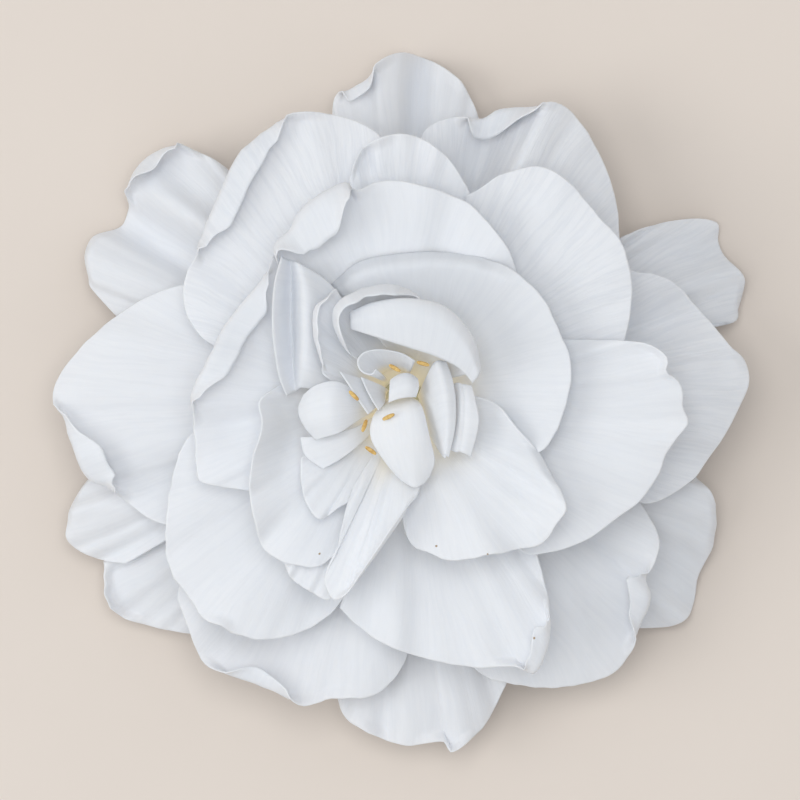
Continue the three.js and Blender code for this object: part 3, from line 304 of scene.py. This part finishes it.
# ---- what only the visible petals have: [ruffle in mm, creases] ----
# A crease is a ridge or a valley along a line over the petal:
# [across 0, along 0, across 1, along 1, height, half width in petal widths].
DETAIL = {
    "petal_outer_01_top": [0.25, [
        [0.46, 0.6, 0.44, 1.0, -1.2, 0.07],
        [0.7, 0.5, 0.74, 1.0, 0.7, 0.09],
    ]],
    "petal_outer_02_upper_left": [0.2, [
        [0.3, 0.6, 0.42, 1.0, 1.0, 0.06],
        [0.62, 0.55, 0.55, 0.95, -1.0, 0.07],
    ]],
    "petal_outer_05_upper_right": [0.3, [
        [0.3, 0.5, 0.25, 1.0, -0.8, 0.05],
        [0.62, 0.5, 0.68, 1.0, -0.7, 0.05],
    ]],
    "petal_outer_04_lower_right": [0.25, [[0.45, 0.6, 0.42, 1.0, -0.6, 0.08]]],
    "petal_outer_06_left_low": [0.2, [[0.55, 0.7, 0.5, 1.0, 0.6, 0.08]]],
    "petal_outer_07_bottom": [0.25, [
        [0.35, 0.6, 0.32, 1.0, -0.6, 0.06],
        [0.6, 0.6, 0.62, 1.0, 0.4, 0.08],
    ]],
    "petal_broad_01_left": [0.2, [
        [0.3, 0.4, 0.28, 0.95, 0.5, 0.1],
        [0.72, 0.6, 0.78, 0.95, -0.6, 0.05],
    ]],
    "petal_broad_02_bottom_left": [0.2, [[0.3, 0.5, 0.5, 0.85, -0.8, 0.07]]],
    "petal_broad_03_lower_right": [0.25, [
        [0.5, 0.5, 0.52, 1.0, -0.5, 0.08],
        [0.78, 0.5, 0.76, 0.9, -0.8, 0.05],
    ]],
    "petal_broad_04_right": [0.25, [
        [0.68, 0.45, 0.72, 0.95, -0.9, 0.07],
        [0.45, 0.5, 0.42, 1.0, 0.4, 0.08],
    ]],
    "petal_broad_05_top_right": [0.25, [
        [0.42, 0.4, 0.4, 1.0, 0.6, 0.06],
        [0.62, 0.5, 0.66, 0.9, -0.8, 0.06],
    ]],
    "petal_second_01_upper_left": [0.2, [
        [0.3, 0.4, 0.3, 0.9, 0.4, 0.08],
        [0.72, 0.4, 0.7, 0.95, -0.5, 0.07],
    ]],
    "petal_second_03_bottom": [0.25, [
        [0.3, 0.5, 0.28, 1.0, -0.5, 0.08],
        [0.62, 0.4, 0.66, 1.0, 0.5, 0.08],
    ]],
    "petal_second_04_top": [0.2, [[0.7, 0.5, 0.76, 1.0, -0.5, 0.08]]],
    "petal_second_05_upper_right": [0.2, [
        [0.72, 0.4, 0.78, 1.0, -0.6, 0.08],
        [0.35, 0.5, 0.34, 1.0, 0.4, 0.1],
    ]],
    "petal_second_06_right": [0.3, [
        [0.62, 0.6, 0.66, 1.0, -0.5, 0.04],
        [0.3, 0.5, 0.3, 0.95, 0.4, 0.1],
    ]],
    "petal_third_01_left": [0.2, [[0.62, 0.5, 0.66, 1.0, -0.6, 0.06]]],
    "petal_third_02_top": [0.15, [
        [0.3, 0.6, 0.28, 1.0, -0.4, 0.07],
        [0.52, 0.6, 0.52, 1.0, 0.3, 0.06],
    ]],
    "petal_third_03_right": [0.1, [[0.2, 0.5, 0.22, 1.0, 0.3, 0.06]]],
    "petal_third_05_lower_left": [0.25, [[0.5, 0.5, 0.52, 1.0, 0.4, 0.08]]],
    "petal_third_06_lower_right": [0.3, [
        [0.62, 0.45, 0.66, 1.0, -0.6, 0.06],
        [0.35, 0.5, 0.35, 1.0, 0.4, 0.08],
    ]],
}


# ---- petal surface ----
def ease(w):
    return w * w * (3 - 2 * w)


def claw_radius(level):
    return COLUMN_FOOT_RADIUS - COLUMN_TAPER * level


def claw_height(level):
    return LOWEST_CLAW + COLUMN_HEIGHT * level


def whorl_height(r, level):
    rise = WHORL_RISE + WHORL_RISE_GAIN * level**1.1
    reach = WHORL_REACH - WHORL_REACH_LOSS * level
    droop = TIP_DROOP * (1 - level) ** 2 * (r / HEAD_RADIUS) ** 3
    return claw_height(level) + rise * (1 - np.exp(-(r - claw_radius(level)) / reach)) - droop


def rim_at(rim, u):
    """Smooth curve through the rim points at the shares u of its length: x, y, lift, curl, roll."""
    full = [list(p) + [0, 0, LEAST_ROLL][len(p) - 2:] for p in rim]
    p = np.array(full, dtype=float)
    s = np.concatenate([[0], np.cumsum(np.hypot(*np.diff(p[:, :2], axis=0).T))])
    at = u * s[-1]
    i = np.clip(np.searchsorted(s[1:], at), 0, len(p) - 2)
    h = (s[i + 1] - s[i])[:, None]
    w = ((at - s[i]) / h[:, 0])[:, None]
    below = np.maximum(np.arange(len(p)) - 1, 0)
    above = np.minimum(np.arange(len(p)) + 1, len(p) - 1)
    slope = (p[above, :2] - p[below, :2]) / (s[above] - s[below])[:, None]
    xy = (p[i, :2] * (1 - ease(w)) + p[i + 1, :2] * ease(w)
          + h * (slope[i] * w * (1 - w) ** 2 - slope[i + 1] * w * w * (1 - w)))
    rest = p[i, 2:] * (1 - ease(w)) + p[i + 1, 2:] * ease(w)
    return xy, rest[:, 0], np.radians(rest[:, 1]), np.maximum(rest[:, 2], LEAST_ROLL), s[-1]


def curled(curl, roll, turns):
    """Band past the end of each rib: outward and upward way of its rows, and how far out it gets.
    The bend is in the first part of the band, so that a full turn lies back as a flat strip."""
    steps = 8 * turns
    share = ease(np.minimum((np.arange(steps) + 0.5) / steps / BEND_SHARE, 1))
    angle = curl[:, None] * share
    out = np.cumsum(np.cos(angle), axis=1) * roll[:, None] / steps
    up = np.cumsum(np.sin(angle), axis=1) * roll[:, None] / steps
    return out[:, 7::8], up[:, 7::8], out.max(axis=1)


def waves(rng, t, count, lowest, highest):
    """A smooth random line over t from 0 to 1, about -1 to 1."""
    total = np.zeros_like(t)
    for _ in range(count):
        total += np.sin(2 * math.pi * rng.uniform(lowest, highest) * t + rng.uniform(0, 2 * math.pi))
    return total / math.sqrt(count)


def petal_grid(name, level, rim, options, rng):
    """Mid-surface points of a petal in mm, one rib per column, from the claw out through the curled band.
    """
    columns, rows, turns = PETAL_MESH
    power = options.get("power", 2)
    ruffle, creases = DETAIL.get(name, [0.15, []])
    u = np.linspace(0, 1, columns + 1)
    ends, lift, curl, roll, width = rim_at(rim, u)
    middle, _, _, _, _ = rim_at(rim, np.array([0.5]))
    facing = math.radians(options["claw"]) if "claw" in options else math.atan2(middle[0, 1], middle[0, 0])
    turn = facing + (2 * u - 1) * CLAW_HALF_WIDTH * (1 - CLAW_NARROWING * level) / claw_radius(level)
    claw = claw_radius(level) * np.stack([np.cos(turn), np.sin(turn)], axis=1)
    # a fine unevenness of the free edge
    notch = NOTCH_DEPTH * min(width / 50, 1) * np.abs(waves(rng, u, 5, width / 12, width / 4))
    far = np.hypot(*(ends - claw).T)
    d = (ends - claw) / far[:, None]
    far = far - notch
    out, up, back = curled(curl, roll, turns)
    flat = far - back
    phase = [rng.uniform(0, 2 * math.pi, 4) for _ in range(3)]

    def height(xy, u, v, lift):
        z = whorl_height(np.hypot(xy[..., 0], xy[..., 1]), level) + lift * v**power
        for du, dv, tall, wide, long in options.get("dimples", []):
            z = z + tall * np.exp(-((u - du) / wide) ** 2 - ((v - dv) / long) ** 2)
        for u0, v0, u1, v1, tall, wide in creases:
            # distance from the crease line, measured in shares of the petal's width
            lu, lv = u1 - u0, (v1 - v0) * CREASE_ASPECT
            run = (v - v0) * CREASE_ASPECT
            t = np.clip(((u - u0) * lu + run * lv) / (lu * lu + lv * lv), 0, 1)
            away = np.hypot(u - u0 - t * lu, run - t * lv)
            z = z + tall * np.exp(-(away / wide) ** 2)
        soft = (np.sin(9 * u + 3 * v + phase[0][0]) * np.sin(7 * v - 4 * u + phase[0][1])
                + 0.6 * np.sin(17 * u - 5 * v + phase[1][0]) * np.sin(5 * v + phase[1][1]))
        wavy = np.sin(23 * u + 2.5 * v + phase[2][0]) + 0.6 * np.sin(41 * u + phase[2][1])
        return z + SWELL_HEIGHT * soft * v * v + ruffle * wavy * v**4

    v = np.linspace(0, 1, rows + 1)
    xy = claw[:, None] + d[:, None] * (flat[:, None] * v[None])[..., None]
    z = height(xy, u[:, None], v[None], lift[:, None])
    body = np.concatenate([xy, z[..., None]], axis=2)
    end = body[:, -1]
    step = 0.2
    near = end[:, :2] - d * step
    slope = (end[:, 2] - height(near, u, 1 - step / flat, lift)) / step
    norm = np.hypot(1, slope)
    run = (out - up * slope[:, None]) / norm[:, None]
    band = np.concatenate([
        end[:, None, :2] + d[:, None] * run[..., None],
        (end[:, None, 2] + (out * slope[:, None] + up) / norm[:, None])[..., None],
    ], axis=2)
    return np.concatenate([body, band], axis=1)


def sheet_grid(points, columns, rows):
    """Smooth grid through the rows of a sheet."""
    def blend(p, q, r, s, w):
        return q + 0.5 * w * (r - p + w * (2 * p - 5 * q + 4 * r - s + w * (3 * (q - r) + s - p)))

    def pick(values, t):
        values = np.concatenate([[2 * values[0] - values[1]], values, [2 * values[-1] - values[-2]]])
        i = np.clip(np.floor(t).astype(int), 0, len(values) - 4)
        w = (t - i).reshape(-1, *[1] * (values.ndim - 1))
        return blend(values[i], values[i + 1], values[i + 2], values[i + 3], w)

    p = np.array(points, dtype=float)
    along = pick(p, np.linspace(0, len(p) - 1, rows + 1))
    across = pick(np.swapaxes(along, 0, 1), np.linspace(0, p.shape[1] - 1, columns + 1))
    return across


# ---- meshes ----
def add_piece(name, points, faces, material):
    """Smooth mesh object from points in mm about the flower's axis."""
    mesh = bpy.data.meshes.new(name)
    mesh.from_pydata((np.array(points) * MM + AXIS).tolist(), [], faces)
    mesh.polygons.foreach_set("use_smooth", [True] * len(faces))
    mesh.materials.append(material)
    piece = bpy.data.objects.new(name, mesh)
    bpy.context.collection.objects.link(piece)
    return piece


def shell(name, grid, thick_foot, thick_rim, material):
    """Closed thin shell on both sides of a grid, thinner towards its free edges."""
    nu, nv = grid.shape[:2]
    pad = np.concatenate([grid[:1], grid, grid[-1:]], axis=0)
    across = pad[2:] - pad[:-2]
    pad = np.concatenate([grid[:, :1], grid, grid[:, -1:]], axis=1)
    along = pad[:, 2:] - pad[:, :-2]
    normal = np.cross(along, across)
    normal /= np.linalg.norm(normal, axis=2, keepdims=True)
    share = np.linspace(0, 1, nv)[None, :, None] * np.ones((nu, 1, 1))
    thick = thick_foot + (thick_rim - thick_foot) * ease(share)
    edge = np.ones((nu, nv, 1))
    edge[:, -1] = EDGE_THINNING
    edge[:, -2] = np.minimum(edge[:, -2], 0.85)
    edge[0] = edge[-1] = EDGE_THINNING
    thick = thick * edge
    points = np.concatenate([(grid + side * normal * thick / 2).reshape(-1, 3) for side in (1, -1)])
    n = nu * nv
    index = np.arange(n).reshape(nu, nv)
    a, b, c, e = index[:-1, :-1], index[:-1, 1:], index[1:, 1:], index[1:, :-1]
    top = np.stack([a, b, c, e], axis=2).reshape(-1, 4)
    low = np.stack([a, e, c, b], axis=2).reshape(-1, 4) + n
    walls = []
    for line, flip in ((index[:, 0], False), (index[:, -1], True), (index[0], True), (index[-1], False)):
        p, q = line[:-1], line[1:]
        quad = np.stack([p, q, q + n, p + n], axis=1)
        walls.append(quad[:, ::-1] if flip else quad)
    piece = add_piece(name, points, np.concatenate([top, low, *walls]).tolist(), material)
    mesh = piece.data

    # across and along the petal in centimetres, for the veins
    steps = np.linalg.norm(np.diff(grid, axis=1), axis=2)
    run = np.concatenate([np.zeros((nu, 1)), np.cumsum(steps, axis=1)], axis=1)
    middle = grid[:, int(nv * 0.7)]
    side = np.concatenate([[0], np.cumsum(np.linalg.norm(np.diff(middle, axis=0), axis=1))])
    uv = np.stack([np.repeat(side[:, None], nv, axis=1), run], axis=2).reshape(-1, 2) / 10
    uv = np.concatenate([uv, uv])
    layer = mesh.uv_layers.new(name="petal")
    corners = np.empty(len(mesh.loops), dtype=np.int32)
    mesh.loops.foreach_get("vertex_index", corners)
    layer.data.foreach_set("uv", uv[corners].astype(np.float32).ravel())
    foot = mesh.attributes.new("foot", "FLOAT", "POINT")
    foot.data.foreach_set("value", np.tile(1 - share.reshape(-1), 2).astype(np.float32))
    mesh.update()
    return piece


def turned(name, profile, segments, material, rib=0.0, ribs=6):
    """Solid of revolution about the flower's axis, with a closed pole at each end of the profile."""
    ring = np.linspace(0, 2 * math.pi, segments, endpoint=False)
    points = [[0, 0, profile[0][1]]]
    for r, z in profile[1:-1]:
        scale = 1 - rib * np.cos(ribs * ring)
        points += [[r * k * math.cos(t), r * k * math.sin(t), z] for t, k in zip(ring, scale)]
    points.append([0, 0, profile[-1][1]])
    faces = []
    rings = len(profile) - 2
    at = lambda i, j: 1 + i * segments + j % segments
    for j in range(segments):
        faces.append([0, at(0, j + 1), at(0, j)])
        faces.append([len(points) - 1, at(rings - 1, j), at(rings - 1, j + 1)])
        for i in range(rings - 1):
            faces.append([at(i, j), at(i, j + 1), at(i + 1, j + 1), at(i + 1, j)])
    return add_piece(name, points, faces, material)


def anther_piece(name, heading, tilt, middle):
    """Pod with two pollen sacs and a groove between them."""
    points = [[-ANTHER_HALF, 0, 0]]
    for i in range(1, ANTHER_STEPS):
        a = math.pi * i / ANTHER_STEPS
        for j in range(ANTHER_SIDES):
            b = 2 * math.pi * j / ANTHER_SIDES
            lobe = 1 - 0.3 * abs(math.cos(b)) ** 6
            bead = 1 + 0.05 * rng.uniform(-1, 1)
            r = ANTHER_RADIUS * math.sin(a) ** 0.7 * lobe * bead
            points.append([-ANTHER_HALF * math.cos(a), r * math.sin(b), r * math.cos(b) * 0.95])
    points.append([ANTHER_HALF, 0, 0])
    faces = []
    at = lambda i, j: 1 + i * ANTHER_SIDES + j % ANTHER_SIDES
    for j in range(ANTHER_SIDES):
        faces.append([0, at(0, j), at(0, j + 1)])
        faces.append([len(points) - 1, at(ANTHER_STEPS - 2, j + 1), at(ANTHER_STEPS - 2, j)])
        for i in range(ANTHER_STEPS - 2):
            faces.append([at(i, j), at(i + 1, j), at(i + 1, j + 1), at(i, j + 1)])
    p = np.array(points)
    c, s = math.cos(math.radians(tilt)), math.sin(math.radians(tilt))
    p = np.stack([p[:, 0] * c - p[:, 2] * s, p[:, 1], p[:, 0] * s + p[:, 2] * c], axis=1)
    c, s = math.cos(math.radians(heading)), math.sin(math.radians(heading))
    p = np.stack([p[:, 0] * c - p[:, 1] * s, p[:, 0] * s + p[:, 1] * c, p[:, 2]], axis=1)
    return add_piece(name, p + middle, faces, anther_material)


# ---- materials ----
class Nodes:
    """Small helper that adds and links shader nodes."""

    def __init__(self, name):
        self.material = bpy.data.materials.new(name)
        self.material.use_nodes = True
        self.tree = self.material.node_tree
        self.tree.nodes.clear()
        self.shader = self.add("ShaderNodeBsdfPrincipled")
        output = self.add("ShaderNodeOutputMaterial")
        self.link(self.shader.outputs[0], output.inputs[0])

    def add(self, kind, **settings):
        node = self.tree.nodes.new(kind)
        for key, value in settings.items():
            setattr(node, key, value)
        return node

    def link(self, a, b):
        self.tree.links.new(a, b)

    def math(self, operation, a, b):
        node = self.add("ShaderNodeMath", operation=operation)
        for socket, value in zip(node.inputs, (a, b)):
            if isinstance(value, (int, float)):
                socket.default_value = value
            else:
                self.link(value, socket)
        return node.outputs[0]

    def noise(self, vector, scale, detail=2.0, roughness=0.5):
        node = self.add("ShaderNodeTexNoise")
        node.inputs["Scale"].default_value = scale
        node.inputs["Detail"].default_value = detail
        node.inputs["Roughness"].default_value = roughness
        self.link(vector, node.inputs["Vector"])
        return node.outputs["Fac"]

    def stretch(self, vector, x, y, z):
        node = self.add("ShaderNodeVectorMath", operation="MULTIPLY")
        node.inputs[1].default_value = (x, y, z)
        self.link(vector, node.inputs[0])
        return node.outputs[0]

    def mix(self, factor, a, b):
        node = self.add("ShaderNodeMix", data_type="RGBA")
        self.link(factor, node.inputs[0])
        for socket, value in ((node.inputs[6], a), (node.inputs[7], b)):
            if isinstance(value, tuple):
                socket.default_value = (*value, 1)
            else:
                self.link(value, socket)
        return node.outputs[2]

    def ramp(self, value, low, high):
        node = self.add("ShaderNodeMapRange", interpolation_type="SMOOTHSTEP")
        node.inputs[1].default_value = low
        node.inputs[2].default_value = high
        self.link(value, node.inputs[0])
        return node.outputs[0]

    def bump(self, height, strength, distance, normal=None):
        node = self.add("ShaderNodeBump")
        node.inputs["Strength"].default_value = strength
        node.inputs["Distance"].default_value = distance
        self.link(height, node.inputs["Height"])
        if normal is not None:
            self.link(normal, node.inputs["Normal"])
        return node.outputs[0]


# places of the specks on the upper petals, mm from the axis
SPECKS = [[4.1, -16.5], [9.9, -17.4], [-9.1, -17.4], [15.2, -27]]
# painted light: how strongly the petals around the heart glow by emission
HEART_PAINTED_LIGHT = 0.22
SPECK_BROWN = (0.32, 0.22, 0.12)
PETAL_WHITE = (0.82, 0.845, 0.888)
PETAL_VEIN = (0.772, 0.80, 0.85)
PETAL_CREAM = (0.96, 0.86, 0.64)
# colour of the painted light (emission) around the heart
PAINTED_LIGHT_COLOUR = (1.0, 0.92, 0.78, 1.0)
# share of the way from the rim to the claw over which the cream comes in
CREAM_FOOT = (0.7, 1.08)
# distance from the axis and height above the table over which the heart turns cream, and height over which
# its painted light (emission) fades, metres
HEART_RADIUS = (0.017, 0.006)
HEART_DEPTH = (0.024, 0.013)
PAINTED_LIGHT_DEPTH = (0.03, 0.012)
SPECK_RADIUS = (0.00027, 0.00016)
PLAIN_VEINS = 0.45
WORLD_STRENGTH = 0.52


def petal_material(name, veins):
    """Preserved petal: matt white with fine veins from the claw to the rim, cream near the heart, with
    painted light glowing by emission around the heart.
    """
    m = Nodes(name)
    uv = m.add("ShaderNodeUVMap", uv_map="petal").outputs[0]
    position = m.add("ShaderNodeNewGeometry").outputs["Position"]
    wander = m.noise(m.stretch(uv, 1.2, 0.8, 1), 1.0, 1.0)
    shifted = m.add("ShaderNodeVectorMath", operation="ADD")
    offset = m.add("ShaderNodeCombineXYZ")
    m.link(m.math("MULTIPLY", wander, 0.35), offset.inputs[0])
    m.link(uv, shifted.inputs[0])
    m.link(offset.outputs[0], shifted.inputs[1])
    coarse = m.noise(m.stretch(shifted.outputs[0], 13, 1.1, 1), 1.0, 2.0, 0.55)
    fine = m.noise(m.stretch(shifted.outputs[0], 38, 3.0, 1), 1.0, 1.5, 0.5)
    streak = m.math("ADD", m.math("MULTIPLY", coarse, 0.7), m.math("MULTIPLY", fine, 0.3))
    grain = m.noise(m.stretch(position, 2600, 2600, 2600), 1.0, 2.0)
    cloud = m.noise(m.stretch(position, 90, 90, 90), 1.0, 2.0)

    # cream towards the claw
    foot = m.add("ShaderNodeAttribute", attribute_name="foot").outputs["Fac"]
    near = m.ramp(m.math("ADD", foot, m.math("MULTIPLY", cloud, 0.12)), *CREAM_FOOT)
    # and deep down in the heart
    from_axis = m.add("ShaderNodeVectorMath", operation="DISTANCE")
    m.link(m.stretch(position, 1, 1, 0), from_axis.inputs[0])
    from_axis.inputs[1].default_value = (AXIS[0], AXIS[1], 0)
    split = m.add("ShaderNodeSeparateXYZ")
    m.link(position, split.inputs[0])
    clouded = m.math("ADD", from_axis.outputs["Value"], m.math("MULTIPLY", cloud, 0.006))
    inside = m.ramp(clouded, *HEART_RADIUS)
    deep = m.ramp(split.outputs[2], *HEART_DEPTH)
    near = m.math("MAXIMUM", near, m.math("MULTIPLY", inside, deep))
    lined = m.mix(m.math("MULTIPLY", m.ramp(streak, 0.42, 0.62), veins), PETAL_WHITE, PETAL_VEIN)
    colour = m.mix(near, lined, PETAL_CREAM)
    # painted light: an emission on the petals around the heart, standing in for the daylight that comes
    # through them
    painted_light = m.math("MULTIPLY", inside, m.ramp(split.outputs[2], *PAINTED_LIGHT_DEPTH))
    m.link(m.math("MULTIPLY", painted_light, HEART_PAINTED_LIGHT), m.shader.inputs["Emission Strength"])
    m.shader.inputs["Emission Color"].default_value = PAINTED_LIGHT_COLOUR
    # a few tiny brown specks
    for x, y in SPECKS:
        spot = m.add("ShaderNodeVectorMath", operation="DISTANCE")
        m.link(m.stretch(position, 1, 1, 0), spot.inputs[0])
        spot.inputs[1].default_value = (AXIS[0] + x * MM, AXIS[1] + y * MM, 0)
        ragged = m.math("ADD", spot.outputs["Value"], m.math("MULTIPLY", grain, 0.0002))
        mark = m.ramp(ragged, *SPECK_RADIUS)
        colour = m.mix(mark, colour, SPECK_BROWN)
    m.link(colour, m.shader.inputs["Base Color"])

    rough = m.math("ADD", m.math("MULTIPLY", grain, 0.12), 0.5)
    m.link(rough, m.shader.inputs["Roughness"])
    relief = m.bump(streak, 0.5, 0.00022 * veins)
    m.link(m.bump(grain, 0.25, 0.00004, relief), m.shader.inputs["Normal"])
    m.shader.inputs["Subsurface Weight"].default_value = 0.4
    m.shader.inputs["Subsurface Radius"].default_value = (1.0, 0.9, 0.8)
    m.shader.inputs["Subsurface Scale"].default_value = 0.0014
    m.shader.inputs["Specular IOR Level"].default_value = 0.25
    m.shader.inputs["Sheen Weight"].default_value = 0.12
    m.shader.inputs["Sheen Roughness"].default_value = 0.6
    return m.material


def plain_material(name, light, dark, scale, grain_distance, roughness):
    """Mottled matt surface for the green parts, the column and the anthers."""
    m = Nodes(name)
    position = m.add("ShaderNodeNewGeometry").outputs["Position"]
    blotch = m.noise(m.stretch(position, scale, scale, scale), 1.0, 3.0)
    grain = m.noise(m.stretch(position, scale * 5, scale * 5, scale * 5), 1.0, 3.0, 0.6)
    tone = m.math("ADD", m.math("MULTIPLY", blotch, 0.6), m.math("MULTIPLY", grain, 0.4))
    m.link(m.mix(m.ramp(tone, 0.35, 0.65), dark, light), m.shader.inputs["Base Color"])
    m.link(m.math("ADD", m.math("MULTIPLY", grain, 0.25), roughness - 0.12), m.shader.inputs["Roughness"])
    m.link(m.bump(grain, 0.6, grain_distance), m.shader.inputs["Normal"])
    m.shader.inputs["Specular IOR Level"].default_value = 0.3
    return m.material


petal_plain = petal_material("petal_plain", PLAIN_VEINS)
petal_veined = petal_material("petal_veined", 1.0)
VEINED = {"petal_second_04_top", "petal_second_05_upper_right", "petal_outer_05_upper_right",
          "petal_broad_04_right", "petal_broad_05_top_right", "petal_second_01_upper_left"}
anther_material = plain_material("anther", (0.82, 0.58, 0.22), (0.50, 0.28, 0.08), 900, 0.00012, 0.75)
green_material = plain_material("calyx_green", (0.30, 0.36, 0.13), (0.14, 0.19, 0.06), 260, 0.00015, 0.6)
column_material = plain_material("column_pale", (0.78, 0.77, 0.62), (0.62, 0.63, 0.42), 260, 0.0001, 0.6)


# ---- build ----
def place(piece, node):
    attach(piece, "root")
    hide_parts(node)


rng = np.random.default_rng(7)
for name, level, rim, options in PETALS:
    grid = petal_grid(name, level, rim, options, rng)
    petal = shell("visual_" + name, grid, PETAL_THICKNESS, RIM_THICKNESS,
                  petal_veined if name in VEINED else petal_plain)
    place(petal, name)

for name, rows in SHEETS:
    grid = sheet_grid(rows, *SHEET_MESH)
    petal = shell("visual_" + name, grid, PETAL_THICKNESS, RIM_THICKNESS, petal_plain)
    place(petal, name)

for k, (x, y, z, heading, tilt) in enumerate(ANTHERS):
    anther = anther_piece(f"visual_anther_{k + 1}", heading, tilt, [x, y, z])
    place(anther, f"anther_{k + 1}")

profile = [[0, 5.9]]
for k in range(13):
    profile.append([claw_radius(k / 12) - 0.62, 5.9 if k == 0 else claw_height(k / 12)])
profile += [[0.9, claw_height(1) + 0.6], [0, claw_height(1) + 0.8]]
place(turned("visual_corolla_column", profile, 48, column_material), "corolla_column")

profile = [[0, 0], [3.5, 0], [3.9, 0.15], [4.15, 0.6], [4.45, 1.6], [CALYX_RADIUS - 0.03, 3], [4.6, 4.1],
           [4.3, 5], [4.0, 5.35], [3.6, CALYX_HEIGHT - 0.05], [0, CALYX_HEIGHT]]
place(turned("visual_calyx", profile, 96, green_material, rib=0.05), "calyx")

for k in range(6):
    turn = math.radians(k * 60 + 30)
    rows = [[[out * math.cos(turn) - side * half * math.sin(turn),
              out * math.sin(turn) + side * half * math.cos(turn),
              z - 0.15 * (1 - side * side)] for side in (-1, 0, 1)]
            for out, half, z in ((5.1, 1.2, 4.7), (6.8, 1, 5.2), (8.8, 0.6, 5.4), (10.6, 0.15, 5))]
    sepal = shell(f"visual_sepal_{k + 1}", sheet_grid(rows, *SEPAL_MESH), SEPAL_THICKNESS, SEPAL_RIM,
                  green_material)
    place(sepal, f"sepal_{k + 1}")

# ---- floor, light and camera ----
floor_look = Nodes("floor")
position = floor_look.add("ShaderNodeNewGeometry").outputs["Position"]
mottle = floor_look.noise(floor_look.stretch(position, 60, 60, 60), 1.0, 3.0)
sand = floor_look.mix(mottle, (0.745, 0.675, 0.615), (0.765, 0.695, 0.635))
floor_look.link(sand, floor_look.shader.inputs["Base Color"])
floor_look.shader.inputs["Roughness"].default_value = 0.95
floor_look.shader.inputs["Specular IOR Level"].default_value = 0.1
bpy.ops.mesh.primitive_plane_add(size=6, location=(0, 0, 0))
floor = bpy.context.object
floor.name = "floor"
floor.data.materials.append(floor_look.material)

scene = bpy.context.scene
scene.view_settings.view_transform = "Standard"
world = bpy.data.worlds.new("studio")
scene.world = world
world.use_nodes = True
world.node_tree.nodes["Background"].inputs[0].default_value = (0.96, 0.98, 1.0, 1)
world.node_tree.nodes["Background"].inputs[1].default_value = WORLD_STRENGTH


def soft_light(name, location, size, power, colour):
    """Round soft lamp that points at the flower."""
    data = bpy.data.lights.new(name, "AREA")
    data.shape = "DISK"
    data.size = size
    data.energy = power
    data.color = colour
    lamp = bpy.data.objects.new(name, data)
    lamp.location = location
    lamp.rotation_euler = (-Vector(location)).to_track_quat("-Z", "Y").to_euler()
    bpy.context.collection.objects.link(lamp)


soft_light("overhead", (-0.05, 0.15, 1.45), 0.9, 7.6, (1.0, 0.995, 0.985))
soft_light("key", (-0.8, -0.1, 0.8), 0.7, 3.2, (1.0, 0.99, 0.97))

# The view is VIEW_WIDTH wide at the height of most petal rims, in metres.
CAMERA_HEIGHT = 1.3
VIEW_WIDTH = 0.0909
RIM_PLANE = 0.018
camera_data = bpy.data.cameras.new("camera")
camera_data.sensor_width = 36
camera_data.lens = camera_data.sensor_width * (CAMERA_HEIGHT - RIM_PLANE) / VIEW_WIDTH
camera_data.clip_end = 50
camera = bpy.data.objects.new("camera", camera_data)
camera.location = (AXIS[0], AXIS[1], CAMERA_HEIGHT)
bpy.context.collection.objects.link(camera)
scene.camera = camera
